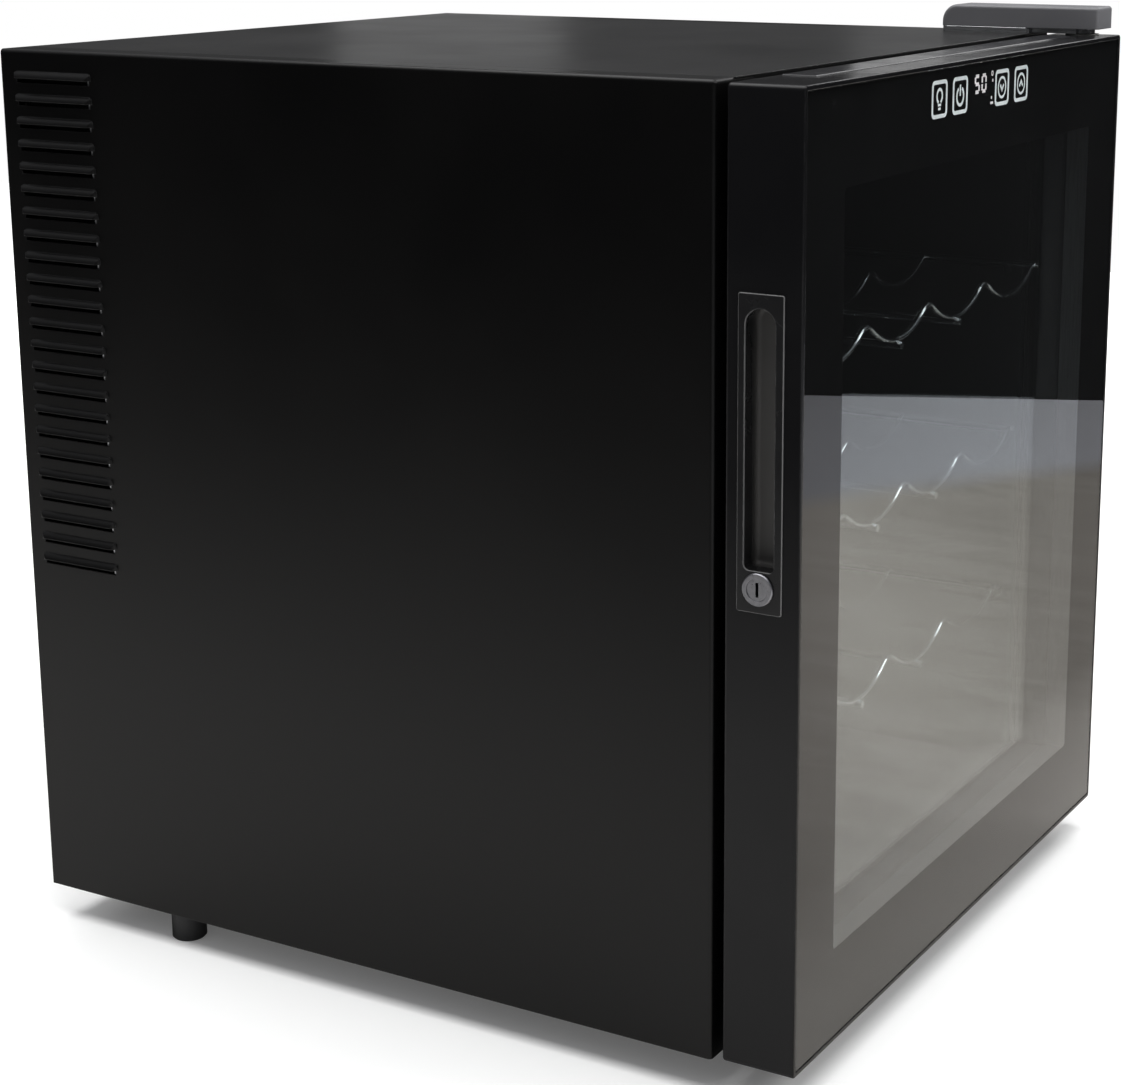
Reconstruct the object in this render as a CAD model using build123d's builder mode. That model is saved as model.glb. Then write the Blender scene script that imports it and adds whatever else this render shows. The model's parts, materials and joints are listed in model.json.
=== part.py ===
"""Free-standing thermoelectric wine cooler with a glass door, built as separate pieces.

Millimetres. The origin is the middle of the footprint at floor level, +Z is up, the door faces -Y,
the hinge is on the +X side and the handle is on the -X side.
"""

import os
from math import atan, cos, degrees, radians, sin, sqrt

from build123d import *

# Overall sizes
cabinet_width = 430.0
cabinet_depth = 444.0
cabinet_height = 490.0
door_thickness = 40.0
door_gap = 6.0
foot_height = 20.0

# Walls and sheets
sheet = 1.0
side_wall = 45.0
top_wall = 38.0
bottom_wall = 37.0
interior_depth = 340.0
liner_wall = 2.0
rear_foam = 40.0
rear_inset = 6.0
top_flange = 20.0
rear_flange = 14.0
lip_width = 6.0
bend_radius = 2.2

# Door
door_corner = 2.4
door_back_round = 1.6
door_front_round = 0.8
door_lip = 2.5
glass_thickness = 4.0
pane_gap = 14.0
window_side = 47.0
window_top = 51.0
window_bottom = 50.0
pane_overlap = 14.0
spacer_width = 11.0
gasket_width = 14.0
hinge_inset = 12.0
hinge_plate_width = 25.0
hinge_plate_reach = 59.0
hinge_neck = 21.0
hinge_eye = 7.5
cover_height = 13.0
cover_round = 2.0
cover_rear_round = 10.0
handle_length = 154.0
handle_drop = 97.0

# Louvres
louvre_count = 23
louvre_pitch = 12.4
louvre_length = 55.0
louvre_first = 14.6
louvre_rise = 2.6
louvre_top = 3.0
louvre_bottom = -0.8
louvre_slot = 2.6
louvre_round = 2.6
louvre_wall = 0.8

# Racks
rack_pitch = 80.0
rack_waves = 4
rack_depth = 290.0
rack_first = 113.5
rack_spacing = 102.0
wave_depth = 12.5
wave_radius = 1.6
peak_radius = 11.0
rail_radius = 2.2
cross_wires = 5
first_wire = 3.0

# Clearances
seat_gap = 0.2
pane_play = 0.3
running_gap = 0.05
hole_gap = 0.2
rack_clear = 0.3

# Positions that follow from the sizes
half_width = cabinet_width / 2
total_depth = cabinet_depth + door_gap + door_thickness
y_front = -total_depth / 2
y_back = total_depth / 2
y_door_back = y_front + door_thickness
y_cabinet = y_door_back + door_gap
y_rear_panel = y_back - rear_inset
z_bottom = foot_height
z_top = foot_height + cabinet_height
inside_half = half_width - side_wall
z_floor = z_bottom + bottom_wall
z_ceiling = z_top - top_wall
y_inside_back = y_cabinet + interior_depth
y_liner_back = y_inside_back + liner_wall
y_foam_back = y_liner_back + rear_foam
lip_half = inside_half + lip_width
z_lip_low = z_floor - lip_width
z_lip_high = z_ceiling + lip_width
z_door_low = z_bottom + 1.0
z_door_high = z_top - 1.0
window_half = half_width - window_side
z_window_low = z_door_low + window_bottom
z_window_high = z_door_high - window_top
pane_half = window_half + pane_overlap
z_pane_low = z_window_low - pane_overlap
z_pane_high = z_window_high + pane_overlap
y_glass_front = y_front + 0.2
y_glass_back = y_glass_front + glass_thickness
y_pane_front = y_glass_back + pane_gap
y_pane_back = y_pane_front + glass_thickness
hinge_x = half_width - hinge_inset
hinge_y = y_front + door_thickness / 2
rack_half = rack_pitch * rack_waves / 2
fan_z = z_floor + 243.0

os.makedirs("parts", exist_ok=True)


def save(builder, name):
    """Label a finished piece and write it to its own file."""
    builder.part.label = name
    export_step(builder.part, "parts/" + name + ".step")


def block(x0, x1, y0, y1, z0, z1, mode=Mode.ADD):
    """Box between the given limits, in either order."""
    with Locations(((x0 + x1) / 2, (y0 + y1) / 2, (z0 + z1) / 2)):
        Box(abs(x1 - x0), abs(y1 - y0), abs(z1 - z0), mode=mode)


def post(x, y, z0, z1, radius, mode=Mode.ADD):
    """Upright cylinder."""
    with Locations((x, y, (z0 + z1) / 2)):
        Cylinder(radius, abs(z1 - z0), mode=mode)


def bar_x(x0, x1, y, z, radius, mode=Mode.ADD):
    """Cylinder that runs across the width."""
    with Locations(((x0 + x1) / 2, y, z)):
        Cylinder(radius, abs(x1 - x0), rotation=(0, 90, 0), mode=mode)


def bar_y(x, y0, y1, z, radius, mode=Mode.ADD):
    """Cylinder that runs along the depth."""
    with Locations((x, (y0 + y1) / 2, z)):
        Cylinder(radius, abs(y1 - y0), rotation=(90, 0, 0), mode=mode)


def ring(outer_half, inner_half, low_out, high_out, low_in, high_in, y0, y1, mode=Mode.ADD):
    """Upright rectangular ring, flat in the width and height, between two depths."""
    with BuildSketch(Plane(origin=(0, y0, 0), x_dir=(1, 0, 0), z_dir=(0, -1, 0))) as outline:
        with Locations((0, (low_out + high_out) / 2)):
            Rectangle(2 * outer_half, high_out - low_out)
        with Locations((0, (low_in + high_in) / 2)):
            Rectangle(2 * inner_half, high_in - low_in, mode=Mode.SUBTRACT)
    extrude(outline.sketch, amount=-(y1 - y0), mode=mode)


def edges_at(builder, axis, **place):
    """Edges along an axis whose middle has the given coordinates."""
    found = []
    for edge in builder.edges().filter_by(axis):
        middle = edge.center()
        spot = {"x": middle.X, "y": middle.Y, "z": middle.Z}
        if all(abs(spot[key] - value) < 0.01 for key, value in place.items()):
            found.append(edge)
    return found


# Hardware positions shared by several pieces
rear_foot_x = half_width - 17.0
rear_foot_y = y_back - 89.0
leveller_x = half_width - 80.0
leveller_y = y_cabinet + 49.0
stud_radius = 4.0
hinge_plate_thickness = 3.0
hinge_plate_x1 = half_width - 2.0
hinge_plate_x0 = hinge_plate_x1 - hinge_plate_width
hinge_plate_y0 = y_front + 5.0
hinge_plate_y1 = y_cabinet + hinge_plate_reach
hinge_pin_radius = 4.0
hinge_screw_x = hinge_plate_x1 - 9.0
hinge_screw_spots = (
    (hinge_screw_x, y_cabinet + 12.0),
    (hinge_screw_x, y_cabinet + 28.0),
    (hinge_screw_x, y_cabinet + 44.0),
)
handle_high = z_top - handle_drop
handle_low = handle_high - handle_length
lock_y = hinge_y + 1.3
lock_z = handle_low + 12.0
cam_length = door_thickness / 2 + door_gap + 5.0
cam_x0 = -half_width + 20.5
cam_x1 = cam_x0 + 2.0
cam_room = 2.0
keeper_low = lock_z - 25.0
keeper_high = lock_z + 9.0
rear_screw_z = (z_bottom + 30.0, z_bottom + cabinet_height / 2, z_top - 30.0)
fan_size = 92.0
fan_depth = 25.0
small_fan_size = 80.0
small_fan_depth = 15.0
fan_corner = 41.0
small_fan_corner = 35.5
duct_half = 95.0
duct_low = fan_z - 115.0
duct_high = fan_z + 115.0
duct_depth = 32.0
duct_tab = 12.0
y_duct = y_inside_back - duct_depth
block_half = 20.0
module_thickness = 4.0
y_block_back = y_foam_back - 1.0
y_module_back = y_block_back + module_thickness
sink_base = 6.0
sink_screw_x = 61.0
sink_screw_z = 48.0
inlet_x = -half_width + 95.0
inlet_z = z_bottom + 50.0
intake_x = half_width - 120.0
intake_z = z_bottom + 68.0

# Louvre: a pressed hood with its mouth facing down, over an open slot
slot_edge = louvre_bottom - louvre_slot
with BuildPart() as louvre_hood:
    with BuildSketch(Plane.XZ):
        with BuildLine():
            ThreePointArc(
                (0, louvre_top),
                (-0.75 * louvre_rise, 0.35 * louvre_top),
                (-louvre_rise, louvre_bottom),
            )
            Line((-louvre_rise, louvre_bottom), (0, louvre_bottom))
            Line((0, louvre_bottom), (0, louvre_top))
        make_face()
    extrude(amount=louvre_length / 2, both=True)
    with BuildSketch(Plane.XY.offset(louvre_bottom)):
        with BuildLine():
            Line((0, -louvre_length / 2), (0, louvre_length / 2))
            ThreePointArc(
                (0, louvre_length / 2),
                (-0.72 * louvre_rise, louvre_length / 2 - 0.5 * louvre_rise),
                (-louvre_rise, louvre_length / 2 - 1.6 * louvre_rise),
            )
            Line(
                (-louvre_rise, louvre_length / 2 - 1.6 * louvre_rise),
                (-louvre_rise, -louvre_length / 2 + 1.6 * louvre_rise),
            )
            ThreePointArc(
                (-louvre_rise, -louvre_length / 2 + 1.6 * louvre_rise),
                (-0.72 * louvre_rise, -louvre_length / 2 + 0.5 * louvre_rise),
                (0, -louvre_length / 2),
            )
        make_face()
    extrude(amount=louvre_top - louvre_bottom, mode=Mode.INTERSECT)
    with BuildSketch(Plane.YZ) as hood_outline:
        with Locations((0, (louvre_top + louvre_bottom) / 2)):
            Rectangle(louvre_length, louvre_top - louvre_bottom)
        fillet(hood_outline.vertices().group_by(Axis.Y)[-1], louvre_round)
    extrude(amount=2 * louvre_rise, both=True, mode=Mode.INTERSECT)

# The air passage inside one louvre and the slot through the sheet below its lip
passage_rise = louvre_rise - louvre_wall
passage_half = louvre_length / 2 - 1.4
with BuildPart() as louvre_passage:
    with BuildSketch(Plane.XZ):
        with BuildLine():
            Polyline(
                (-passage_rise, louvre_bottom - 0.4),
                (-0.5, louvre_bottom - 0.4),
                (-0.5, slot_edge),
                (sheet + 0.5, slot_edge),
                (sheet + 0.5, louvre_top - 1.3),
                (0, louvre_top - 1.3),
            )
            ThreePointArc(
                (0, louvre_top - 1.3),
                (-0.75 * passage_rise, 0.18 * louvre_top),
                (-passage_rise, louvre_bottom - 0.4),
            )
        make_face()
    extrude(amount=passage_half, both=True)
    with BuildSketch(Plane.XY.offset(slot_edge)):
        with BuildLine():
            Polyline(
                (sheet + 0.5, -passage_half),
                (sheet + 0.5, passage_half),
                (0, passage_half),
                (-passage_rise, passage_half - 1.8 * passage_rise),
                (-passage_rise, -passage_half + 1.8 * passage_rise),
                (0, -passage_half),
                (sheet + 0.5, -passage_half),
            )
        make_face()
    extrude(amount=louvre_top - slot_edge, mode=Mode.INTERSECT)

louvre_y = y_back - 37.0
louvre_spots = []
for index in range(louvre_count):
    louvre_spots.append((-half_width, louvre_y, z_top - louvre_first - index * louvre_pitch))


def side_panel(side):
    """One folded side sheet: side is -1 for the left panel and +1 for the right one."""
    with BuildPart() as panel:
        block(-half_width, -half_width + sheet, y_cabinet, y_back, z_bottom, z_top)
        block(-half_width, -half_width + top_flange, y_cabinet, y_back, z_top - sheet, z_top)
        block(-half_width, -half_width + top_flange, y_cabinet, y_cabinet + sheet, z_bottom, z_top)
        block(
            -half_width,
            -lip_half,
            y_cabinet,
            y_cabinet + sheet,
            z_bottom,
            z_top - sheet - seat_gap,
        )
        block(
            -half_width,
            -half_width + rear_flange,
            y_rear_panel - sheet,
            y_rear_panel,
            z_bottom,
            z_top,
        )
        fillet(edges_at(panel, Axis.Y, x=-half_width, z=z_top), bend_radius)
        fillet(edges_at(panel, Axis.Z, x=-half_width, y=y_cabinet), bend_radius)
        with Locations(*louvre_spots):
            add(louvre_hood.part)
        with Locations(*louvre_spots):
            add(louvre_passage.part, mode=Mode.SUBTRACT)
        for z in rear_screw_z:
            bar_y(
                -half_width + rear_flange / 2,
                y_rear_panel - 2 * sheet,
                y_rear_panel + sheet,
                z,
                1.5 + running_gap,
                mode=Mode.SUBTRACT,
            )
        if side < 0:
            block(
                cam_x0 - cam_room,
                cam_x1 + cam_room,
                y_cabinet - sheet,
                y_cabinet + 2 * sheet,
                keeper_low,
                keeper_high,
                mode=Mode.SUBTRACT,
            )
        if side > 0:
            for spot in hinge_screw_spots:
                post(
                    -spot[0],
                    spot[1],
                    z_top - 2 * sheet,
                    z_top + sheet,
                    2.0 + running_gap,
                    mode=Mode.SUBTRACT,
                )
    if side < 0:
        return panel
    with BuildPart() as mirrored:
        mirror(panel.part, about=Plane.YZ)
    return mirrored


left_panel = side_panel(-1)
save(left_panel, "left_panel")
right_panel = side_panel(1)
save(right_panel, "right_panel")

# Top panel: lies between the top flanges of the side panels
top_half = half_width - top_flange - seat_gap
with BuildPart() as top_panel:
    block(-top_half, top_half, y_cabinet, y_back, z_top - sheet, z_top)
    block(
        -lip_half + seat_gap,
        lip_half - seat_gap,
        y_cabinet,
        y_cabinet + sheet,
        z_lip_high,
        z_top,
    )
    block(
        -top_half,
        top_half,
        y_rear_panel - sheet,
        y_rear_panel,
        z_top - rear_flange,
        z_top,
    )
save(top_panel, "top_panel")

# Base plate: folded up at the front and at the rear
base_half = half_width - sheet - seat_gap
with BuildPart() as base_plate:
    block(
        -base_half,
        base_half,
        y_cabinet + sheet + seat_gap,
        y_rear_panel - sheet - seat_gap,
        z_bottom,
        z_bottom + sheet,
    )
    block(
        -lip_half + seat_gap,
        lip_half - seat_gap,
        y_cabinet,
        y_cabinet + 3 * sheet,
        z_bottom,
        z_bottom + sheet,
    )
    block(
        -lip_half + seat_gap,
        lip_half - seat_gap,
        y_cabinet,
        y_cabinet + sheet,
        z_bottom,
        z_lip_low,
    )
    block(
        -half_width + rear_flange + seat_gap,
        half_width - rear_flange - seat_gap,
        y_rear_panel - 2 * sheet - seat_gap,
        y_rear_panel - sheet - seat_gap,
        z_bottom,
        z_bottom + rear_flange,
    )
    for side in (-1, 1):
        post(side * rear_foot_x, rear_foot_y, 0, z_bottom + 5, 4.0 + running_gap, mode=Mode.SUBTRACT)
        post(side * leveller_x, leveller_y, 0, z_bottom + 5, stud_radius + 0.6, mode=Mode.SUBTRACT)
    for spot in hinge_screw_spots:
        post(spot[0], spot[1], 0, z_bottom + 5, 2.0 + running_gap, mode=Mode.SUBTRACT)
save(base_plate, "base_plate")

# Rear panel: vent slots, the fan opening and the cut-out for the inlet
rear_half = half_width - sheet - seat_gap
with BuildPart() as rear_panel:
    with BuildSketch(Plane(origin=(0, y_rear_panel, 0), x_dir=(1, 0, 0), z_dir=(0, -1, 0))):
        with Locations((0, (z_bottom + seat_gap + z_top - sheet - seat_gap) / 2)):
            Rectangle(2 * rear_half, cabinet_height - sheet - 2 * seat_gap)
        with Locations((0, fan_z)):
            Circle(fan_size / 2 - 4.0, mode=Mode.SUBTRACT)
        with Locations((0, fan_z)):
            with GridLocations(2 * fan_corner, 2 * fan_corner, 2, 2):
                Circle(1.8 + hole_gap, mode=Mode.SUBTRACT)
        with Locations((intake_x, intake_z)):
            with GridLocations(56.0, 9.0, 3, 8):
                SlotOverall(46.0, 4.0, mode=Mode.SUBTRACT)
        with Locations((0, z_top - 56.0)):
            with GridLocations(56.0, 9.0, 4, 6):
                SlotOverall(46.0, 4.0, mode=Mode.SUBTRACT)
        with Locations((inlet_x, inlet_z)):
            Rectangle(28.0 + 2 * hole_gap, 20.0 + 2 * hole_gap, mode=Mode.SUBTRACT)
        for side in (-1, 1):
            for z in rear_screw_z:
                with Locations((side * (half_width - rear_flange / 2), z)):
                    Circle(1.5 + hole_gap, mode=Mode.SUBTRACT)
            with Locations((inlet_x + side * 20.0, inlet_z)):
                Circle(1.5 + running_gap, mode=Mode.SUBTRACT)
    extrude(amount=-sheet)
save(rear_panel, "rear_panel")

with BuildPart() as rear_panel_screws:
    for side in (-1, 1):
        for z in rear_screw_z:
            x = side * (half_width - rear_flange / 2)
            bar_y(x, y_rear_panel + sheet, y_rear_panel + sheet + 2.0, z, 3.2)
            bar_y(x, y_rear_panel - 5.0, y_rear_panel + sheet, z, 1.5)
            block(
                x - 2.2,
                x + 2.2,
                y_rear_panel + sheet + 1.0,
                y_rear_panel + sheet + 3.0,
                z - 0.5,
                z + 0.5,
                mode=Mode.SUBTRACT,
            )
save(rear_panel_screws, "rear_panel_screws")

# Inner liner: a tub with ribs that carry the racks
rack_peaks = (
    z_floor + rack_first,
    z_floor + rack_first + rack_spacing,
    z_floor + rack_first + 2 * rack_spacing,
)
rib_reach = inside_half - rack_half + 4.0
rib_front = y_cabinet + 7.0
rib_back = y_duct - 4.0
with BuildPart() as liner:
    block(
        -inside_half - liner_wall,
        inside_half + liner_wall,
        y_cabinet,
        y_liner_back,
        z_floor - liner_wall,
        z_ceiling + liner_wall,
    )
    for side in (-1, 1):
        for level in (z_floor - liner_wall, z_ceiling + liner_wall):
            fillet(edges_at(liner, Axis.Y, x=side * (inside_half + liner_wall), z=level), 9.0)
    block(
        -lip_half + seat_gap,
        lip_half - seat_gap,
        y_cabinet,
        y_cabinet + sheet,
        z_lip_low + seat_gap,
        z_lip_high - seat_gap,
    )
    with BuildSketch(Plane(origin=(0, y_cabinet, 0), x_dir=(1, 0, 0), z_dir=(0, -1, 0))):
        with Locations((0, (z_floor + z_ceiling) / 2)):
            RectangleRounded(2 * inside_half, z_ceiling - z_floor, 7.0)
    extrude(amount=-interior_depth, mode=Mode.SUBTRACT)
    for level in rack_peaks:
        rib_top = level - rail_radius - rack_clear
        for side in (-1, 1):
            block(
                side * (inside_half + 0.5),
                side * (inside_half - rib_reach),
                rib_front,
                rib_back,
                rib_top - 5.0,
                rib_top,
            )
    block(
        -block_half - hole_gap,
        block_half + hole_gap,
        y_inside_back - 1.0,
        y_liner_back + 1.0,
        fan_z - block_half - hole_gap,
        fan_z + block_half + hole_gap,
        mode=Mode.SUBTRACT,
    )
    for side in (-1, 1):
        for z in (duct_low + 30.0, duct_high - 30.0):
            bar_y(
                side * (duct_half + duct_tab / 2),
                y_inside_back - 1.0,
                y_liner_back + 1.0,
                z,
                1.5 + running_gap,
                mode=Mode.SUBTRACT,
            )
save(liner, "liner")

# Foam between the panels and the liner
stud_room = z_bottom + 34.0
foam_half = half_width - sheet - seat_gap
with BuildPart() as foam_insulation:
    block(
        -foam_half,
        foam_half,
        y_cabinet + sheet + seat_gap + 2 * sheet,
        y_foam_back,
        z_bottom + sheet + seat_gap,
        z_top - sheet - seat_gap,
    )
    block(
        -inside_half - liner_wall - seat_gap,
        inside_half + liner_wall + seat_gap,
        y_cabinet,
        y_liner_back + seat_gap,
        z_floor - liner_wall - seat_gap,
        z_ceiling + liner_wall + seat_gap,
        mode=Mode.SUBTRACT,
    )
    block(
        -block_half - hole_gap,
        block_half + hole_gap,
        y_liner_back,
        y_foam_back + 1.0,
        fan_z - block_half - hole_gap,
        fan_z + block_half + hole_gap,
        mode=Mode.SUBTRACT,
    )
    for side in (-1, 1):
        post(side * rear_foot_x, rear_foot_y, z_bottom, z_bottom + 10.0, 6.0, mode=Mode.SUBTRACT)
        post(side * leveller_x, leveller_y, z_bottom, stud_room, 9.0, mode=Mode.SUBTRACT)
        for z in (duct_low + 30.0, duct_high - 30.0):
            bar_y(
                side * (duct_half + duct_tab / 2),
                y_liner_back - 1.0,
                y_liner_back + 12.0,
                z,
                2.0,
                mode=Mode.SUBTRACT,
            )
        for offset in (-sink_screw_z, sink_screw_z):
            bar_y(
                side * sink_screw_x,
                y_foam_back - 10.0,
                y_foam_back + 1.0,
                fan_z + offset,
                2.4,
                mode=Mode.SUBTRACT,
            )
    for spot in hinge_screw_spots:
        post(spot[0], spot[1], z_top - 12.0, z_top, 2.4, mode=Mode.SUBTRACT)
        post(spot[0], spot[1], z_bottom, z_bottom + 12.0, 2.4, mode=Mode.SUBTRACT)
    block(
        cam_x0 - cam_room - 2.0 - seat_gap,
        cam_x1 + cam_room + 2.0 + seat_gap,
        y_cabinet,
        y_cabinet + 16.0 + seat_gap,
        keeper_low - 3.0 - seat_gap,
        keeper_high + 3.0 + seat_gap,
        mode=Mode.SUBTRACT,
    )
save(foam_insulation, "foam_insulation")

# Sheet that closes the foam at the rear and carries the hot side
with BuildPart() as foam_backing_plate:
    block(
        -base_half,
        base_half,
        y_foam_back,
        y_foam_back + sheet,
        z_bottom + sheet + seat_gap,
        z_top - sheet - seat_gap,
    )
    block(
        -block_half - 2.0,
        block_half + 2.0,
        y_foam_back - 1.0,
        y_foam_back + 2 * sheet,
        fan_z - block_half - 2.0,
        fan_z + block_half + 2.0,
        mode=Mode.SUBTRACT,
    )
    for side in (-1, 1):
        for offset in (-sink_screw_z, sink_screw_z):
            bar_y(
                side * sink_screw_x,
                y_foam_back - 1.0,
                y_foam_back + 2 * sheet,
                fan_z + offset,
                1.7 + running_gap,
                mode=Mode.SUBTRACT,
            )
save(foam_backing_plate, "foam_backing_plate")

# Cold side: duct cover, heat sink and block
duct_wall = 2.0
with BuildPart() as duct_cover:
    block(-duct_half, duct_half, y_duct, y_inside_back, duct_low, duct_high)
    fillet(edges_at(duct_cover, Axis.Z, y=y_duct) + edges_at(duct_cover, Axis.X, y=y_duct), 1.5)
    block(
        -duct_half + duct_wall,
        duct_half - duct_wall,
        y_duct + duct_wall,
        y_inside_back + 1.0,
        duct_low + duct_wall,
        duct_high - duct_wall,
        mode=Mode.SUBTRACT,
    )
    for side in (-1, 1):
        for z in (duct_low + 30.0, duct_high - 30.0):
            block(
                side * (duct_half - 1.0),
                side * (duct_half + duct_tab),
                y_inside_back - duct_wall,
                y_inside_back,
                z - 8.0,
                z + 8.0,
            )
            bar_y(
                side * (duct_half + duct_tab / 2),
                y_inside_back - 2 * duct_wall,
                y_inside_back + 1.0,
                z,
                1.5 + hole_gap,
                mode=Mode.SUBTRACT,
            )
    with BuildSketch(Plane(origin=(0, y_duct - 1.0, 0), x_dir=(1, 0, 0), z_dir=(0, -1, 0))):
        grille_radius = small_fan_size / 2 - 4.0
        for row in range(-4, 5):
            rise = row * 7.6
            with Locations((0, fan_z + rise)):
                SlotOverall(2 * sqrt(grille_radius**2 - rise**2), 4.4)
        for z in (duct_low + 30.0, duct_high - 30.0):
            with Locations((0, z)):
                with GridLocations(14.0, 1.0, 11, 1):
                    SlotOverall(24.0, 5.0, rotation=90)
    extrude(amount=-(duct_wall + 8.0), mode=Mode.SUBTRACT)
save(duct_cover, "duct_cover")

with BuildPart() as duct_screws:
    for side in (-1, 1):
        for z in (duct_low + 30.0, duct_high - 30.0):
            x = side * (duct_half + duct_tab / 2)
            bar_y(x, y_inside_back - duct_wall - 2.0, y_inside_back - duct_wall, z, 3.2)
            bar_y(x, y_inside_back - duct_wall, y_inside_back + 9.0, z, 1.5)
save(duct_screws, "duct_screws")

cold_sink_half = 45.0
y_fan_cold_back = y_duct + duct_wall + small_fan_depth
with BuildPart() as cold_heatsink:
    block(
        -cold_sink_half,
        cold_sink_half,
        y_inside_back - 5.0,
        y_inside_back,
        fan_z - cold_sink_half,
        fan_z + cold_sink_half,
    )
    with Locations((0, (y_fan_cold_back + 1.5 + y_inside_back - 5.0) / 2, fan_z)):
        with GridLocations(6.0, 1.0, 15, 1):
            Box(1.5, y_inside_back - 5.0 - y_fan_cold_back - 1.5 + 0.4, 2 * cold_sink_half)
save(cold_heatsink, "cold_heatsink")

with BuildPart() as cold_block:
    block(-block_half, block_half, y_inside_back, y_block_back, fan_z - block_half, fan_z + block_half)
save(cold_block, "cold_block")

with BuildPart() as peltier_module:
    block(-block_half, block_half, y_block_back, y_module_back, fan_z - block_half, fan_z + block_half)
save(peltier_module, "peltier_module")

# Hot side: finned sink between the module and the rear fan
sink_half_x = 67.0
sink_half_z = 58.0
y_fan_front = y_rear_panel - fan_depth
with BuildPart() as hot_heatsink:
    block(
        -sink_half_x,
        sink_half_x,
        y_module_back,
        y_module_back + sink_base,
        fan_z - sink_half_z,
        fan_z + sink_half_z,
    )
    with Locations((0, (y_module_back + sink_base - 0.4 + y_fan_front - 2.0) / 2, fan_z)):
        with GridLocations(6.0, 1.0, 19, 1):
            Box(1.5, y_fan_front - 2.0 - y_module_back - sink_base + 0.4, 2 * sink_half_z)
    for side in (-1, 1):
        for offset in (-sink_screw_z, sink_screw_z):
            bar_y(
                side * sink_screw_x,
                y_module_back - 1.0,
                y_module_back + sink_base + 1.0,
                fan_z + offset,
                1.7 + hole_gap,
                mode=Mode.SUBTRACT,
            )
save(hot_heatsink, "hot_heatsink")

with BuildPart() as heatsink_screws:
    for side in (-1, 1):
        for offset in (-sink_screw_z, sink_screw_z):
            x = side * sink_screw_x
            z = fan_z + offset
            bar_y(x, y_module_back + sink_base, y_module_back + sink_base + 2.5, z, 3.0)
            bar_y(x, y_foam_back - 8.0, y_module_back + sink_base, z, 1.7)
save(heatsink_screws, "heatsink_screws")


def fan_frame(size, depth, corner, y0):
    """Square fan housing with a bearing on four struts at its rear face."""
    hub = 0.19 * size
    with BuildPart() as housing:
        block(-size / 2, size / 2, y0, y0 + depth, fan_z - size / 2, fan_z + size / 2)
        fillet(housing.edges().filter_by(Axis.Y), 4.0)
        bar_y(0, y0 - 1.0, y0 + depth + 1.0, fan_z, size / 2 - 2.0, mode=Mode.SUBTRACT)
        with Locations((0, y0 + depth / 2, fan_z)):
            with GridLocations(2 * corner, 1.0, 2, 1):
                for rise in (-corner, corner):
                    with Locations((0, 0, rise)):
                        Cylinder(1.8 + running_gap, depth + 2, rotation=(90, 0, 0), mode=Mode.SUBTRACT)
        bar_y(0, y0 + depth - 3.0, y0 + depth, fan_z, hub)
        with Locations((0, y0 + depth - 1.5, fan_z)):
            Box(size - 2.0, 3.0, 4.0)
            Box(4.0, 3.0, size - 2.0)
        bar_y(0, y0 + 6.0, y0 + depth - 2.0, fan_z, 4.0)
        bar_y(0, y0, y0 + depth - 1.5, fan_z, 1.5 + running_gap, mode=Mode.SUBTRACT)
    return housing


def fan_rotor(size, depth, blades, y0):
    """Hub cup with its shaft and pitched blades."""
    hub = 0.19 * size
    tip = size / 2 - 3.0
    chord = (depth - 6.0) / cos(radians(50))
    with BuildPart() as rotor:
        for index in range(blades):
            turn = 360.0 * index / blades
            middle = (hub + tip) / 2
            spoke = Location((0, y0 + (depth - 3.0) / 2, fan_z), (0, turn, 0))
            with Locations(spoke * Location((middle, 0, 0), (50, 0, 0))):
                Box(tip - hub + 6.0, chord, 1.4)
        bar_y(0, y0 + 0.5, y0 + depth - 3.8, fan_z, tip, mode=Mode.INTERSECT)
        bar_y(0, y0 + 1.0, y0 + depth - 4.0, fan_z, hub)
        bar_y(0, y0 + 3.0, y0 + depth - 3.0, fan_z, hub - 1.6, mode=Mode.SUBTRACT)
        bar_y(0, y0 + 2.0, y0 + depth - 2.0, fan_z, 1.5)
    return rotor


inner_fan_frame = fan_frame(small_fan_size, small_fan_depth, small_fan_corner, y_duct + duct_wall)
save(inner_fan_frame, "inner_fan_frame")
inner_fan_rotor = fan_rotor(small_fan_size, small_fan_depth, 9, y_duct + duct_wall)
save(inner_fan_rotor, "inner_fan_rotor")
outer_fan_frame = fan_frame(fan_size, fan_depth, fan_corner, y_fan_front)
save(outer_fan_frame, "outer_fan_frame")
outer_fan_rotor = fan_rotor(fan_size, fan_depth, 7, y_fan_front)
save(outer_fan_rotor, "outer_fan_rotor")

# Wire guard over the rear fan, held by the fan screws
guard_wire = 0.9
y_guard = y_rear_panel + sheet + guard_wire
guard_reach = fan_corner * sqrt(2)
with BuildPart() as fan_guard:
    with Locations(Location((0, y_guard + 0.6, fan_z), (90, 0, 0))):
        for radius in (12.0, 21.0, 30.0, 39.0):
            Torus(radius, guard_wire)
    with Locations(Location((0, y_guard, fan_z), (90, 0, 0))):
        for turn in (45, 135, 225, 315):
            with Locations(Location((0, 0, 0), (0, 0, turn)) * Location((33.0, 0, 0), (0, 90, 0))):
                Cylinder(guard_wire - 0.1, 43.0)
        for turn in (45, 135, 225, 315):
            with PolarLocations(guard_reach, 1, start_angle=turn):
                Cylinder(4.2, 2 * guard_wire)
        for turn in (45, 135, 225, 315):
            with PolarLocations(guard_reach, 1, start_angle=turn):
                Cylinder(1.8 + hole_gap, 4 * guard_wire, mode=Mode.SUBTRACT)
save(fan_guard, "fan_guard")

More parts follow.
